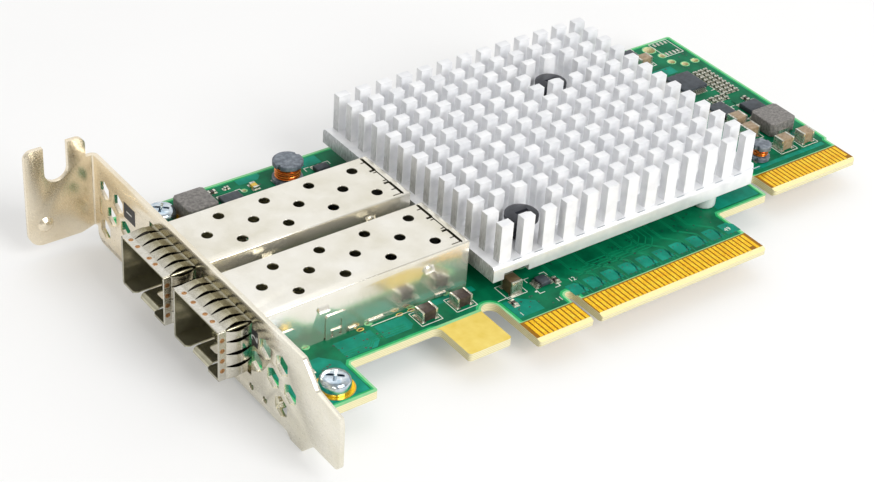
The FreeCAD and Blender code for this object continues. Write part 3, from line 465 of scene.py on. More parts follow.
def cage_finish():
    """Rolled tinplate: nearly white outside with cloudy stains, with painted shade in a darker, duller
    tone inside the cages, and a near black painted shade on the band that the collars cover."""
    made, tree, place = new_material("tin_plated_cage_sheet")
    where = add(tree, "SeparateXYZ", [place])
    outside = blotched(tree, place, 7.0, ["#e2ddcd", "#ece8dc", "#f4f1e8"])
    # painted shade: a darker tone for the cages' insides, standing in for the dark they reflect
    inside = blotched(tree, place, 2.5, ["#b8b49c", "#cdc9b2"])
    # painted shade: the band under the collars' fingers is near black
    layers = [(zone(tree, where, X=(-62.3, -57.0)), linear("#2a251e"))]
    # the limits lie half way through the sheet
    for middle in (mouth("1")[1], mouth("2")[1]):
        inner_shade_zone = zone(tree, where, Y=(middle - cage_half + 0.12, middle + cage_half - 0.12),
                      Z=(None, cage_roof - 0.12))
        layers.append((inner_shade_zone, inside))
    rolled = grained(tree, place, 1.6, (0.3, 1, 1), 2.0)
    return surface(made, layered(tree, outside, *layers), (0.17, 0.24), rolled, 0.0003, Metallic=0.85)


def bracket_finish():
    """Satin nickel over steel sheet: warm, a little cloudy and rubbed along, with a painted reflection
    that turns it warmer and browner towards the lug.
    """
    made, tree, place = new_material("satin_nickel_plate")
    where = add(tree, "SeparateXYZ", [place])
    # painted reflection: the tone shifts from the near end to a warmer, browner far end
    along = add(tree, "MapRange", [where.outputs["Y"], 12.0, 70.0, 0, 1])
    near = blotched(tree, place, 5.0, ["#e6e1cf", "#efebde"])
    far = blotched(tree, place, 5.0, ["#ecdfc6", "#f5ead4"])
    rubbed = grained(tree, place, 0.18, (1, 5, 1))
    return surface(made, layered(tree, near, (along, far)), (0.20, 0.31), rubbed, 0.0004, Metallic=1.0)


def collar_finish():
    """Cold-rolled stainless strip: silvery at the lip, and darker and browner behind it by painted shade
    and reflection, less so on the side strips."""
    made, tree, place = new_material("rolled_stainless_spring_strip")
    where = add(tree, "SeparateXYZ", [place])
    # painted shade and reflection: behind the lip the strip darkens to brown, less so on the side strips
    along = add(tree, "MapRange", [where.outputs["X"], -62.6, -60.2, 0, 1])
    less_on_side_strips = add(tree, "MapRange", [facing(tree, "Y"), 0.3, 0.9, 1, 0.3])
    painted_shade_share = add(tree, "Math", [along, less_on_side_strips], operation="MULTIPLY")
    lip = blotched(tree, place, 0.8, ["#d0ccc0", "#dedbd1"])
    back = blotched(tree, place, 0.8, ["#8f886d", "#a09a80"])
    rolled = grained(tree, place, 0.12, (6, 1, 1), 3.0)
    return surface(made, layered(tree, lip, (painted_shade_share, back)), (0.20, 0.30), rolled, 0.0006, Metallic=1.0)


def sink_finish():
    """Brightened aluminium: smooth where it was extruded, grainy on the sawn faces, which painted shade
    makes darker low down and most of all on the row of fins nearest the bracket."""
    made, tree, place = new_material("brightened_extruded_aluminium")
    where = add(tree, "SeparateXYZ", [place])
    smooth = blotched(tree, place, 3.0, ["#e6e7ea", "#f0f1f3", "#f9f9fa"])
    grain = grained(tree, place, 0.14, (1, 1, 7))
    sawn = add(tree, "ValToRGB", [grain], [(0.35, "#8b8d8f"), (0.65, "#d3d5d8")])
    mask = add(tree, "MapRange", [facing(tree, "X"), 0.8, 0.95, 0, 1])
    # painted shade: the sawn grain's darker grey is laid on more low between the fins and on the row
    # nearest the bracket
    low = add(tree, "MapRange", [where.outputs["Z"], 4.0, 12.5, 0.9, 0.25])
    outer = add(tree, "MapRange", [where.outputs["X"], -9.0, 0.0, 1, 0.12])
    for share in (low, outer):
        mask = add(tree, "Math", [mask, share], operation="MULTIPLY")
    return surface(made, layered(tree, smooth, (mask, sawn)), (0.40, 0.58), grain, 0.003, Metallic=0.45)


def capacitor_finish():
    """Fired ceramic: tan at the tail, and the one beside the heat sink a darker brown."""
    made, tree, place = new_material("fired_tan_ceramic")
    ahead = zone(tree, add(tree, "SeparateXYZ", [place]), X=(None, 0.0))
    tan = blotched(tree, place, 0.7, ["#8b7558", "#ab967c"])
    brown = blotched(tree, place, 0.7, ["#4f4029", "#66543a"])
    grain = grained(tree, place, 0.15, detail=3.0)
    return surface(made, layered(tree, tan, (ahead, brown)), (0.35, 0.5), grain, 0.003)


def make_finishes():
    """Each real finish of the card by its name; roughness is a range, and the sizes that follow it
    are the patches, the grain and its height in millimetres."""
    low_gloss = {"Specular IOR Level": 0.10}
    return {
        "solder_mask_laminate": board_finish(),
        "cage_tin": cage_finish(),
        "collar_steel": collar_finish(),
        "bracket_nickel": bracket_finish(),
        "sink_aluminium": sink_finish(),
        "capacitor_ceramic": capacitor_finish(),
        # barrel plated and passivated: a cold bluish mirror, faintly rippled
        "screw_zinc": finish("blue_bright_zinc", ["#a9bccb", "#c3d0da", "#dfe6ea"], (0.12, 0.22), 1.0,
                             0.1, 0.0008, Metallic=1.0),
        # electroplated hard gold: deep even yellow, brushed along each contact
        "hard_gold": finish("hard_gold_plate", ["#fbba12", "#ffca1e", "#ffd734"], (0.18, 0.30), 1.5,
                            0.08, 0.0002, (1, 6, 1), Metallic=0.75),
        # thin gold flash over bronze: paler and redder
        "contact_gold": finish("flash_gold_on_bronze", ["#d6a13a", "#e6b853"], (0.25, 0.35), 1.0,
                               Metallic=1.0),
        # hot dipped solder: silvery, uneven and lightly frosted
        "tinned_copper": finish("solder_dipped_terminal", ["#a8a695", "#cbc9bd", "#ecebe4"],
                                (0.18, 0.40), 0.5, 0.12, 0.004, Metallic=0.9),
        # plated and stamped: even satin grey
        "lid_nickel": finish("nickel_lid", ["#9d9d9b", "#b4b4b2"], (0.3, 0.4), 3.0, Metallic=1.0),
        # drawn and oiled music wire: nearly black with a soft shine
        "spring_steel": finish("oiled_spring_wire", ["#2b2b2e", "#3d3d41"], (0.3, 0.45), 0.6,
                               Metallic=0.9),
        # drawn copper under clear baked enamel: glossy orange
        "enamelled_copper": finish("enamelled_copper_wire", ["#b9500c", "#de7417", "#f29333"],
                                   (0.16, 0.28), 0.4, 0.1, 0.001, Metallic=0.9,
                                   **{"Coat Weight": 0.6, "Coat Roughness": 0.08}),
        # injection moulded: blue-black and softly satin
        "black_nylon": finish("moulded_black_nylon", ["#23252c", "#30323b"], (0.38, 0.52), 1.2, 0.12,
                              0.004),
        # glass-filled and moulded: matt black
        "socket_polymer": finish("moulded_black_polymer", ["#141414", "#1e1e1e"], (0.45, 0.6), 1.0),
        # transfer moulded epoxy: charcoal with a fine spark-eroded grain
        "package_epoxy": finish("moulded_epoxy_package", ["#30353b", "#3a4047", "#454c54"],
                                (0.45, 0.62), 0.8, 0.06, 0.005),
        # pressed laminate under mask: dark green satin
        "package_laminate": finish("package_laminate", ["#14462f", "#1d5a3e"], (0.35, 0.5), 1.0),
        # pressed, sintered and tumbled: slate grey, matt and gritty
        "ferrite": finish("sintered_ferrite", ["#525a64", "#6c747e", "#8a929a"], (0.42, 0.6), 0.9,
                          0.10, 0.008),
        # tape-cast and fired: dark brown with a dull shine
        "bead_ferrite": finish("fired_brown_ferrite", ["#2f2521", "#3d302a", "#4e4038"], (0.3, 0.45),
                               0.7),
        # fired and diced: near black to brown from chip to chip
        "chip_ceramic": finish("fired_dark_ceramic", ["#2a2725", "#4a3f36"], (0.35, 0.5), 0.6),
        # pressed iron powder: mid grey and sandy
        "choke_composite": finish("pressed_iron_composite", ["#656260", "#7a7774", "#918d89"],
                                  (0.5, 0.65), 0.5, 0.08, 0.01),
        # cast silicone: flat grey and chalky
        "gap_pad": finish("soft_thermal_pad", ["#6f7376", "#7d8184"], (0.7, 0.85), 0.6),
        # clear cast resin: pale and half see-through
        "led_clear": finish("clear_diode_lens", ["#dfe5df", "#eef2ee"], (0.15, 0.25), 0.6,
                            **{"Transmission Weight": 0.5}),
        # resin dyed by its phosphor: even yellow
        "led_yellow": finish("yellow_diode_lens", ["#e0b52c", "#f2d15a"], (0.2, 0.3), 0.4),
        # what follows lies on the board, the bracket, the collars or the sink
        # mask straight on laminate along the rim: light clear green
        "bare_mask": finish("mask_over_bare_laminate", ["#129c52", "#23ab64", "#45bb80"], (0.34, 0.46),
                            4.0, 0.3, 0.001, **{"Specular IOR Level": 0.12}),
        # mask over the inner copper planes: the card's deep green
        "plane_under_mask": finish("mask_over_inner_plane", ["#01573a", "#036c48", "#087a53"],
                                   (0.34, 0.46), 4.0, 0.3, 0.001, **low_gloss),
        # mask over outer copper: bluer and lighter
        "pour_under_mask": finish("mask_over_copper_pour", ["#057660", "#0a866f", "#159780"],
                                  (0.34, 0.46), 3.0, 0.3, 0.001, **low_gloss),
        "trace_under_mask": finish("mask_over_traces", ["#0a7f56", "#11895f"], (0.34, 0.46), 1.5,
                                   0.2, 0.001, **low_gloss),
        # mask drawn into plated holes: small dark dimples
        "via": finish("tented_via", ["#033a2a", "#04503a"], (0.25, 0.35), 0.5),
        # screen-printed white ink: chalky, faintly green from the mask below
        "legend": finish("white_legend_ink", ["#d5ddd0", "#e9eee4"], (0.55, 0.7), 0.5, 0.08, 0.002),
        # tinned rings round bare holes, and the brown shade inside them
        "plated_ring": finish("plated_hole_ring", ["#b9a24a", "#d2bf6a"], (0.25, 0.4), 0.5,
                              Metallic=0.8),
        "oval_bore": finish("plated_bore_in_shade", ["#3c1810", "#5a2a18"], (0.3, 0.45), 0.4,
                            Metallic=0.6),
        # resistance welds: straw to brown from the heat
        "weld": finish("heat_tinted_weld", ["#7e5433", "#b08054", "#c9a274"], (0.25, 0.4), 0.25,
                       Metallic=0.9),
        # tin on the rounded folds: bright, its slightly yellow tone a painted reflection
        "bright_fold": finish("rolled_tin_fold", ["#e2dcb8", "#f2ecd2"], (0.25, 0.38), 1.0,
                              Metallic=1.0),
        # saw run-outs in the sink's base: darker and finely scored
        "saw_mark": finish("sawn_aluminium", ["#aab0b8", "#c4c9cf"], (0.3, 0.45), 0.5, Metallic=0.45),
        # screen-printed enamel on the bracket: even and satin
        "label_black": finish("screen_printed_black", ["#26272a", "#34363a"], (0.4, 0.5), 0.5),
        "label_white": finish("screen_printed_white", ["#e8e8e6", "#f6f6f4"], (0.4, 0.5), 0.5),
    }


def dress_nodes():
    """Every solid that stays as it is gets its real finish."""
    slots = {row["node"]: row["material_slot"] for row in frame["record"]["subparts"]}
    for name, solid in nodes.items():
        for holder in solid.material_slots:
            holder.material = finishes[slots[name]]


# ---- board surface ----
# the mask and the planes stop short of the board's edge, and each layer on it is one skin thick
mask_rim = 0.42
plane_rim = 0.88
skin = 0.012
print_low = 3 * skin
# bare guard tab, edge contacts and tail contacts: x0, x1, y0, y1
bare_places = [(-27.0, -13.5, -1.0, 12.6), (-13.0, 41.0, -1.0, 5.95), (54.0, 78.0, 10.0, 19.1)]
pours = [
    [(-55.4, 4.7), (-44.0, 4.7), (-44.0, 13.2), (-46.6, 15.9), (-55.4, 15.9)],
    [(-42.6, 13.2), (-36.6, 13.2), (-35.2, 14.6), (-35.2, 17.6), (-42.6, 17.6)],
    [(-34.2, 14.2), (-29.0, 14.2), (-28.0, 15.2), (-28.0, 17.9), (-34.2, 17.9)],
    [(-26.9, 17.3), (-13.2, 17.3), (-13.2, 18.7), (-26.9, 18.7)],
    [(-11.6, 6.9), (-6.2, 6.9), (-6.2, 9.6), (-8.8, 11.9), (-11.6, 11.9)],
    [(40.6, 14.0), (51.0, 14.0), (51.0, 21.4), (46.0, 21.4), (43.5, 18.9), (40.6, 18.9)],
    [(56.3, 20.2), (74.8, 20.2), (74.8, 21.2), (56.3, 21.2)],
    [(-55.4, 52.2), (-46.6, 52.2), (-46.6, 58.2), (-55.4, 58.2)],
    [(-38.6, 52.0), (-14.5, 52.0), (-14.5, 58.6), (-38.6, 58.6)],
    [(-31.0, 66.2), (-27.0, 66.2), (-26.0, 67.2), (-26.0, 68.0), (-31.0, 68.0)],
    [(-19.2, 65.2), (-13.5, 65.2), (-13.5, 67.9), (-19.2, 67.9)],
    [(54.6, 44.0), (61.6, 44.0), (61.6, 60.2), (54.6, 60.2)],
    [(62.6, 56.4), (68.6, 56.4), (68.6, 59.0), (62.6, 59.0)],
    [(70.0, 25.8), (75.8, 25.8), (75.8, 26.8), (70.0, 26.8)],
    [(56.0, 26.0), (60.5, 26.0), (60.5, 40.0), (56.0, 40.0)],
]
# slow lines in threes beside the cage, along the far edge and at the tail: step, level, first line
slow_lines = [
    (0.55, 2 * skin, [(-43.0, 13.5), (-37.5, 13.5), (-36.3, 14.7), (-29.5, 14.7)]),
    (-0.5, skin, [(-45.5, 67.6), (-38.5, 67.6), (-37.6, 66.7), (-33.0, 66.7)]),
    (0.6, skin, [(55.0, 62.0), (60.0, 62.0), (61.5, 60.5)]),
    (0.5, skin, [(68.3, 43.0), (70.0, 41.3), (70.0, 40.0)]),
]
# scattered vias: x0, x1, y0, y1, count
via_fields = [(-43.5, -28.0, 13.2, 17.8, 16), (-11.5, -1.8, 7.0, 11.4, 10), (2.0, 38.0, 10.5, 17.4, 46),
              (41.0, 51.0, 14.5, 21.0, 9), (-54.0, -14.0, 52.0, 67.5, 34), (55.0, 62.0, 24.5, 60.0, 34),
              (62.0, 75.0, 55.5, 61.8, 16), (66.0, 75.5, 24.8, 27.0, 5), (-54.5, -45.0, 10.0, 15.2, 6)]


def board_loops(bm, side):
    """The boundaries of the board's flat face, longest first, as rings of points."""
    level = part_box("circuit_board")[1 if side > 0 else 0][2]
    flat = [f for f in bm.faces
            if f.normal.z * side > 0.99 and abs(f.calc_center_median().z - level) < 0.01 * mm]
    # a dict keeps the edges in the mesh's order, so that the rings start in the same place each run
    edges = dict.fromkeys(e for e in bm.edges if sum(1 for f in e.link_faces if f in flat) == 1)
    loops = []
    while edges:
        start, here = edges.popitem()[0].verts
        ring = [start.co.copy(), here.co.copy()]
        while here is not start:
            following = next(e for e in here.link_edges if e in edges)
            del edges[following]
            here = following.other_vert(here)
            ring.append(here.co.copy())
        loops.append(ring[:-1])
    return sorted(loops, key=len, reverse=True)


def face_sheet(side, inset, thickness):
    """Thin layer on the board's top (side 1) or bottom (side -1), kept back from its edges and holes."""
    source = merged("circuit_board")
    outer, *holes = board_loops(source, side)
    source.free()
    sheet = bmesh.new()
    sheet.faces.new([sheet.verts.new(p) for p in outer])
    # close points are merged before and after the inset, which would fold over them
    bmesh.ops.remove_doubles(sheet, verts=sheet.verts, dist=0.45 * mm)
    ring = bmesh.ops.inset_region(sheet, faces=list(sheet.faces), thickness=inset * mm, use_boundary=True,
                                  use_even_offset=True)
    bmesh.ops.delete(sheet, geom=ring["faces"], context="FACES")
    bmesh.ops.remove_doubles(sheet, verts=sheet.verts, dist=0.35 * mm)
    lift(sheet, list(sheet.faces), side * thickness)
    bmesh.ops.recalc_face_normals(sheet, faces=sheet.faces)
    cutter = bmesh.new()
    level = outer[0].z / mm
    for place in bare_places:
        brick(cutter, *place, level - 1, level + 1)
    clearance = 0.25
    for hole in holes:
        middle = sum(hole, Vector()) / len(hole)
        reach = max((p - middle).length for p in hole) / mm
        disc(cutter, middle.x / mm, middle.y / mm, reach + clearance, level - 1, level + 1, 24)
    return carved(sheet, cutter)


def make_board_layers():
    """Mask is darker over the inner planes than along the bare rim, and bluer over copper pours."""
    for side, face in ((1, "top"), (-1, "bottom")):
        piece("bare_mask_" + face, face_sheet(side, mask_rim, skin / 2), "bare_mask")
        piece("inner_plane_" + face, face_sheet(side, plane_rim, skin), "plane_under_mask")
    bm = bmesh.new()
    for corners in pours:
        slab(bm, corners, skin, 2 * skin)
    piece("copper_pours", bm, "pour_under_mask")


def make_fan_out():
    """Traces and vias between the edge connector and the controller, and beside the other parts."""
    draw = random.Random(7)
    traces = bmesh.new()
    vias = bmesh.new()
    blocks = bmesh.new()
    low = skin
    high = 2 * skin
    tent = 0.004
    # pairs of traces climb from the contacts, jog at 45 degrees and run on under the heat sink
    for contact in range(3, 38, 4):
        x = contact + 0.5
        jog = 2.2 + 0.5 * (contact % 3)
        for side in (-0.5, 0.5):
            foot = x + side
            lane = x + side * 0.36
            ribbon(traces, [(foot, 5.9), (foot, 7.4), (lane, 8.1), (lane, 10.2), (lane - jog, 10.2 + jog),
                            (lane - jog, 18.5)], 0.20, low, high)
            disc(vias, foot, 7.4, 0.16, high, high + tent, 8)
    # power contacts end in small pours with two vias at each end
    for contact in range(1, 38, 4):
        left = contact - 0.35
        right = contact + 2.7
        slab(blocks, [(left, 6.9), (right, 6.9), (right, 9.0), (right - 1.0, 10.0), (left, 10.0)],
             low, high)
        for side in (0.2, 1.3):
            disc(vias, contact + side, 6.8, 0.20, high, high + tent, 8)
            disc(vias, contact + side, 9.2, 0.16, high + 0.001, high + 0.001 + tent, 8)
    for row in range(4):
        y = 11.4 + 0.75 * row
        ribbon(traces, [(5.0 + row, y), (22.0 - row, y), (24.0 - row, y + 2.0), (24.0 - row, 18.5)], 0.18,
               low, high)
    for row in range(3):
        for step, level, line in slow_lines:
            ribbon(traces, [(x, y + step * row) for x, y in line], 0.16, level, level + skin)
    for x0, x1, y0, y1, count in via_fields:
        for _ in range(count):
            x = draw.uniform(x0, x1)
            y = draw.uniform(y0, y1)
            disc(vias, x, y, draw.choice((0.17, 0.21, 0.25)), high + skin, high + skin + tent, 10)
    piece("signal_traces", traces, "trace_under_mask")
    piece("trace_islands", blocks, "pour_under_mask")
    piece("tented_vias", vias, "via")


def make_pads():
    """Solder pads under every terminal and lead, and the bare footprint of a package near the tail."""
    bm = bmesh.new()
    solder = 0.03
    top = skin + solder
    for name in nodes:
        if name.endswith(("_terminals", "_leads", "_feet")):
            for low, high in loose_boxes(name):
                # pads reach further past wide terminals, and furthest past the chokes
                grow = 0.22 if high[0] - low[0] > 0.4 and high[1] - low[1] > 0.4 else 0.08
                if "choke" in name:
                    grow = 0.3
                brick(bm, low[0] - grow, high[0] + grow, low[1] - grow, high[1] + grow, skin, top)
    for x in (71.3, 72.3, 73.3, 74.3):
        for y in (63.3, 67.3):
            brick(bm, x, x + 0.5, y - 0.55, y + 0.55, skin, top)
    piece("solder_pads", bm, "tinned_copper")


def make_legend():
    """White legend: outlines and corner ticks round the parts, and plain pin numbers."""
    bm = bmesh.new()
    low = print_low
    high = low + 0.012
    for name in ("ferrite_bead_bodies", "bulk_capacitor_bodies"):
        for a, b in loose_boxes(name):
            outline(bm, a[0] - 1.0, b[0] + 1.0, a[1] - 0.8, b[1] + 0.8, 0.16, low, high)
    gap = 1.2
    tick = 1.1
    for name in ("finger", "left", "rear", "quad", "switch", "small", "corner"):
        a, b = box_mm(name + "_ic_body")
        for x, way_x in ((a[0] - gap, tick), (b[0] + gap, -tick)):
            for y, way_y in ((a[1] - gap, tick), (b[1] + gap, -tick)):
                ribbon(bm, [(x + way_x, y), (x, y), (x, y + way_y)], 0.15, low, high)
        # the dot beside pin 1
        disc(bm, a[0] - 1.5, a[1] - 0.4, 0.22, low, high, 10)
    outline(bm, 70.6, 75.4, 62.4, 68.2, 0.16, low, high)
    for x, y, length in ((-34.5, 18.3, 9.0), (41.0, 22.2, 7.0), (-12.0, 12.6, 5.0)):
        ribbon(bm, [(x, y), (x + length, y)], 0.15, low, high)
    # pin numbers at the ends of the contact rows
    for text, x, y in (("1", -10.6, 7.6), ("11", -2.4, 7.6), ("12", 3.2, 11.0), ("49", 37.6, 8.2)):
        place = Matrix.Translation((x * mm, y * mm, low * mm))
        bm.from_mesh(mesh_of("number", numeral(text, 1.0, high - low, place)))
    piece("legend_lines", bm, "legend")


# ---- metalwork ----
def make_metalwork():
    """Bracket, and cages with rounded long folds and the slits of a locked seam across the roof."""
    softened("mounting_bracket", 0.07, "bracket_nickel")
    cut_low = 8.6
    cut_high = 10.5
    for port in ("1", "2"):
        node = "cage_" + port + "_shell"
        middle = mouth(port)[1]
        rear = box_mm(node)[1][0]
        seams = bmesh.new()
        # the long slit, then its tabs as (place across, length), then the slit's turned end
        brick(seams, rear - 1.47, rear - 1.23, middle - 6.7, middle + 6.7, cut_low, cut_high)
        for across, length in ((-4.6, 1.1), (-1.5, 0.8), (1.5, 0.8), (5.2, 1.0)):
            brick(seams, rear - 1.35 - length, rear - 1.30, middle + across - 0.14, middle + across + 0.14,
                  cut_low, cut_high)
        brick(seams, rear - 3.3, rear - 1.30, middle - 6.45, middle - 6.2, cut_low, cut_high)
        shell = merged(node)
        # the two long edges between the roof and the walls
        folds = [e for e in shell.edges if e.is_manifold and e.calc_face_angle(0) > 1.2
                 and all(abs(v.co.z / mm - cage_roof) < 0.02
                         and abs(abs(v.co.y / mm - middle) - cage_half) < 0.02 for v in e.verts)]
        soften(shell, 0.24, 3, folds)
        shell = carved(shell, seams)
        soften(shell, 0.05, 1)
        piece(node + "_finished", shell, "cage_tin", replaces=[node])
        softened("cage_" + port + "_floor", 0.05, "cage_tin", 1)


# along a collar from its lip: fingers lie between two flat bands and arch over the cage, the outer
# ones lapping the inner ones
arch_height = 0.62
arch_start = 1.35
arch_end = 6.20
lap = 3.95
collar_end = 6.7
outer_rise = 0.10
strip_gauge = 0.10


def collar_finger(bm, place, start, end, low, high, rise):
    """Sprung finger between two slits that widen to its middle, where its shallow arc is highest."""
    made = bmesh.ops.create_grid(bm, x_segments=14, y_segments=4, size=0.5)
    middle = (low + high) / 2
    for vert in made["verts"]:
        run = start + (vert.co.x + 0.5) * (end - start)
        share = min(1.0, max(0.0, (run - arch_start) / (arch_end - arch_start)))
        swell = math.sin(math.pi * share)
        half = (high - low) / 2 - 0.05 - 0.35 * swell
        across = 2 * vert.co.y
        crown = 0.06 * swell * across * across
        lip = 0.07 if start == arch_start and run > lap - 0.08 else 0.0
        vert.co = place(run, middle + across * half, arch_height * swell ** 0.9 + rise + lip - crown)


def collar_strip(bm, place, edges):
    """One side of a collar: a flat lip, a rear band, and fingers between the slits, which the edges
    give with the side's own two."""
    for low, high in zip(edges, edges[1:]):
        collar_finger(bm, place, arch_start, lap, low, high, outer_rise)
        collar_finger(bm, place, lap - 0.25, arch_end, low, high, 0.0)
    for start, end, rise in ((0.0, arch_start + 0.05, outer_rise), (arch_end - 0.05, collar_end, 0.0)):
        made = bmesh.ops.create_grid(bm, x_segments=2, y_segments=6, size=0.5)
        for vert in made["verts"]:
            across = edges[0] + (vert.co.y + 0.5) * (edges[-1] - edges[0])
            vert.co = place(start + (vert.co.x + 0.5) * (end - start), across, rise)


def make_collars():
    """Spring strips round the mouths."""
    top_edges = [-cage_half] + [2.45 * k for k in (-2, -1, 0, 1, 2)] + [cage_half]
    side_edges = [0.0, 2.45, 4.95, 7.45, cage_roof]
    under_edges = [3.7, 5.2, cage_half]
    for port in ("1", "2"):
        front, middle = mouth(port)
        bm = bmesh.new()
        collar_strip(bm, lambda x, a, h: Vector((front + x, middle + a, cage_roof + h)) * mm, top_edges)
        for side in (-1, 1):
            collar_strip(bm, lambda x, a, h: Vector((front + x, middle + side * (cage_half + h), a)) * mm,
                         side_edges)
            collar_strip(bm, lambda x, a, h: Vector((front + x, middle + side * a, -h)) * mm, under_edges)
        bmesh.ops.recalc_face_normals(bm, faces=bm.faces)
        for face in bm.faces:
            centre = face.calc_center_median() / mm
            away = Vector((0, centre.y - middle, centre.z - cage_roof / 2))
            level = abs(away.z) / cage_roof > abs(away.y) / (2 * cage_half)
            flat = Vector((0, 0, 1)) if level else Vector((0, 1, 0))
            if face.normal.dot(flat * (away.dot(flat))) < 0:
                face.normal_flip()
        bmesh.ops.solidify(bm, geom=list(bm.faces), thickness=-strip_gauge * mm)
        piece("spring_collar_" + port, bm, "collar_steel", replaces=["cage_" + port + "_collar"])


def make_corner_folds():
    """Rounded folded corners of the cages, in a slightly yellow tin that is painted reflection, which show
    between the collars' top and side fingers.
    """
    folds = bmesh.new()
    deep = 0.45
    proud = 0.03
    for port in ("1", "2"):
        front, middle = mouth(port)
        for side in (-1, 1):
            near, far = sorted((middle + side * (cage_half - deep), middle + side * (cage_half + proud)))
            brick(folds, front + 1.5, front + 5.6, near, far, cage_roof - deep, cage_roof + proud)
    soften(folds, 0.16, 3)
    piece("cage_corner_folds", folds, "bright_fold")


def spot(bm, place, tilt):
    """Low dimpled disc of one spot weld, facing up or out of a side wall."""
    made = bmesh.ops.create_cone(bm, cap_ends=True, segments=16, radius1=0.50 * mm, radius2=0.40 * mm,
                                 depth=0.05 * mm)
    bmesh.ops.rotate(bm, verts=made["verts"], matrix=Matrix.Rotation(math.radians(tilt), 3, "X"))
    bmesh.ops.translate(bm, verts=made["verts"], vec=place * mm)


def make_spot_welds():
    """Welds along the collars' lips, on top and on the near side."""
    welds = bmesh.new()
    out = 0.20
    # middles of the top welds, across from the middle of the mouth
    for port, places in (("1", (5.1, 2.8, -1.1, -3.1)), ("2", (4.9, 2.0, -1.7, -4.0))):
        front, middle = mouth(port)
        for across in places:
            spot(welds, Vector((front + 0.72, middle + across, cage_roof + out)), 0)
        for up in (1.9, 3.9, 5.9, 8.0):
            spot(welds, Vector((front + 0.60, middle - cage_half - out, up)), 90)
    piece("collar_spot_welds", welds, "weld")


def make_wall_details():
    """Pressed bumps and folded feet along the cages' side walls, and oval plated holes beside them."""
    bumps = bmesh.new()
    feet = bmesh.new()
    bump_x = -22.5
    bump_z = 6.8
    foot = 0.28
    for port in ("1", "2"):
        for side in (-1, 1):
            wall = mouth(port)[1] + side * cage_half
            made = bmesh.ops.create_uvsphere(bumps, u_segments=20, v_segments=12, radius=1)["verts"]
            for vert in made:
                x, y, z = vert.co
                vert.co = Vector((bump_x + 0.95 * x, wall + 0.42 * y, bump_z + 0.75 * z)) * mm
            for x0, x1 in ((-38.5, -36.9), (-34.5, -31.4), (-20.6, -18.4)):
                out = wall + side * foot
                slab(feet, [(x0, wall), (x1, wall), (x1, out), (x0, out)], 0.05, 0.75)
    bmesh.ops.recalc_face_normals(feet, faces=feet.faces)
    soften(feet, 0.06, 1)
    piece("cage_wall_bumps", bumps, "cage_tin")
    piece("cage_wall_feet", feet, "cage_tin")
    rings = bmesh.new()
    cores = bmesh.new()
    thick = 0.006
    long = 0.72
    short = 0.42
    for x in (-36.5, -28.5, -26.1):
        for port, side in (("2", -1), ("1", 1)):
            y = mouth(port)[1] + side * (cage_half + 0.75)
            for bm, grow, level in ((rings, 0.0, print_low), (cores, -0.17, print_low + thick)):
                made = bmesh.ops.create_cone(bm, cap_ends=True, segments=20, radius1=1, radius2=1, depth=1)
                for vert in made["verts"]:
                    vert.co = Vector((x + (long + grow) * vert.co.x, y + (short + grow) * vert.co.y,
                                      level + thick * vert.co.z)) * mm
    piece("oval_hole_rings", rings, "plated_ring")
    piece("oval_hole_bores", cores, "oval_bore")


# ---- heat sink, screws, springs ----
def make_sink():
    """Fins sawn both ways; the saw's run-outs leave short dashes along the base in front of the fins."""
    softened("heat_sink", 0.14, "sink_aluminium")
    marks = bmesh.new()
    base_top = 6.0
    first_fin = -9.20
    fin_pitch = 4.708
    for column in range(13):
        x = first_fin + fin_pitch * column
        brick(marks, x + 1.4, x + 3.2, 14.42, 14.60, base_top - 0.05, base_top + 0.02)
    piece("saw_run_outs", marks, "saw_mark")


def make_screws():
    """Pan heads spun from a rounded profile, with a tapered cross recess, on gold lands."""
    bm = bmesh.new()
    lands = bmesh.new()
    for low, high in loose_boxes("bracket_screws"):
        x, y = middle_of(low, high)
        top = high[2]
        tip = low[2]
        # (radius, height) from the crown over the head and down the shank
        profile = [(0, top), (1.2, top - 0.03), (1.9, top - 0.14), (2.35, top - 0.36), (2.62, top - 0.72),
                   (2.74, top - 1.25), (2.74, 0.14), (2.62, 0.04), (1.45, 0.04),
                   (1.45, tip + 0.25), (1.15, tip), (0, tip)]
        turned = bmesh.new()
        points = [turned.verts.new((x * mm + r * mm, y * mm, z * mm)) for r, z in profile]
        edges = [turned.edges.new(pair) for pair in zip(points, points[1:])]
        bmesh.ops.spin(turned, geom=points + edges, cent=(x * mm, y * mm, 0), axis=(0, 0, 1),
                       dvec=(0, 0, 0), angle=2 * math.pi, steps=48, use_merge=True)
        bmesh.ops.remove_doubles(turned, verts=turned.verts, dist=0.001 * mm)
        bmesh.ops.recalc_face_normals(turned, faces=turned.faces)
        recess = bmesh.new()
        arm = 1.65
        wide = 0.30
        slab(recess, [(arm, -wide), (arm, wide), (wide, wide), (wide, arm), (-wide, arm), (-wide, wide),
                      (-arm, wide), (-arm, -wide), (-wide, -wide), (-wide, -arm), (wide, -arm),
                      (wide, -wide)], top - 1.45, top + 0.2)
        for vert in recess.verts:
            if vert.co.z < top * mm:
                vert.co.x *= 0.45
                vert.co.y *= 0.45
        turn = Matrix.Rotation(math.radians(51), 4, "Z")
        recess.transform(Matrix.Translation((x * mm, y * mm, 0)) @ turn)
        bm.from_mesh(mesh_of("screw", carved(turned, recess)))
        disc(lands, x, y, 3.45, skin, skin + 0.03, 40)
    piece("screw_land_faces", lands, "contact_gold")
    piece("pan_head_screws", bm, "screw_zinc", replaces=["bracket_screws"])


def make_push_pin_springs():
    """Coil springs between the heads of the push pins and the sink."""
    bm = bmesh.new()
    turns = 3.5
    radius = 2.25
    wire = 0.45
    seat = 0.23
    for low, high in loose_boxes("push_pin_springs"):
        bm.from_mesh(coil(turns, radius, wire, low[2] + seat, high[2] - seat, middle_of(low, high)))
    piece("compression_springs", bm, "spring_steel", replaces=["push_pin_springs"])
    softened("push_pins", 0.12, "black_nylon")


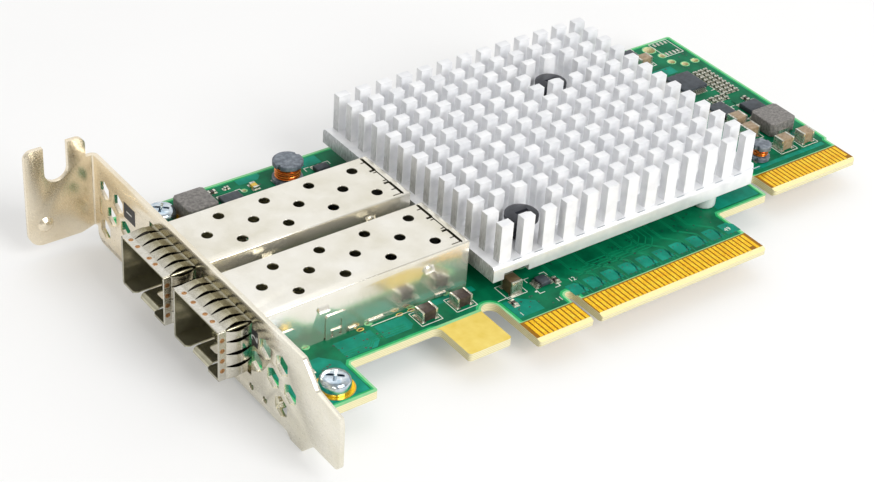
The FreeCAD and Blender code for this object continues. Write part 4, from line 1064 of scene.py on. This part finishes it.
def make_windings():
    """Two layers of enamelled wire on each bobbin, each turn its own strand, a little uneven."""
    for node, wire in (("drum_inductor_winding", 0.42), ("small_drum_winding", 0.30)):
        low, high = box_mm(node)
        outer = (high[0] - low[0]) / 2
        bm = bmesh.new()
        turns = int((high[2] - low[2] - wire) / wire)
        for layer in (0, 1):
            radius = outer - wire / 2 - layer * wire * 0.8
            inset = wire / 2 + layer * wire / 4
            bm.from_mesh(coil(turns, radius, wire, low[2] + inset, high[2] - inset,
                              middle_of(low, high), 20))
        piece(node + "_strands", bm, "enamelled_copper", replaces=[node])


def make_moulded_parts():
    """Packages, chokes and chips with the small rounds that moulds and firing give them."""
    packages = [(name, 0.06, "package_epoxy") for name in nodes if name.endswith("_ic_body")]
    for row in [
        ("left_choke_body", 0.22, "choke_composite", 3),
        ("right_choke_body", 0.22, "choke_composite", 3),
        ("drum_inductor_core", 0.10, "ferrite"),
        ("small_drum_core", 0.10, "ferrite"),
        *packages,
        ("ferrite_bead_bodies", 0.05, "bead_ferrite"),
        ("ferrite_bead_terminals", 0.09, "tinned_copper"),
        ("bulk_capacitor_bodies", 0.05, "capacitor_ceramic"),
        ("bulk_capacitor_terminals", 0.10, "tinned_copper"),
        ("small_chip_bodies", 0.03, "chip_ceramic", 1),
        ("small_chip_terminals", 0.05, "tinned_copper", 1),
        ("status_led_bodies", 0.05, "led_yellow", 1),
        ("status_led_terminals", 0.05, "tinned_copper", 1),
    ]:
        softened(*row)


# ---- port numbers on the bracket ----
def make_port_labels():
    """White numbers on dark squares beside the ports, which read up along the bracket."""
    outward = Matrix(((0, 0, -1), (-1, 0, 0), (0, 1, 0))).to_4x4()
    upright = Matrix.Rotation(math.radians(90), 4, "Z")
    bracket_face = -57.80
    tall = 1.55
    ink = 0.02
    for text, y, z, half in (("1", 58.4, 7.5, 1.95), ("2", 17.5, 7.4, 0.92)):
        back = bmesh.new()
        brick(back, -half, half, -tall, tall, 0, ink)
        back.transform(Matrix.Translation((bracket_face * mm, y * mm, z * mm)) @ outward)
        piece("port_label_" + text, back, "label_black")
        place = Matrix.Translation(((bracket_face - ink) * mm, y * mm, z * mm)) @ outward @ upright
        piece("port_number_" + text, numeral(text, 1.9, 0.015, place), "label_white")


set_camera()
make_floor()
set_light()
finishes = make_finishes()
dress_nodes()
make_board_layers()
make_fan_out()
make_pads()
make_legend()
make_metalwork()
make_collars()
make_corner_folds()
make_spot_welds()
make_wall_details()
make_sink()
make_screws()
make_push_pin_springs()
make_windings()
make_moulded_parts()
make_port_labels()
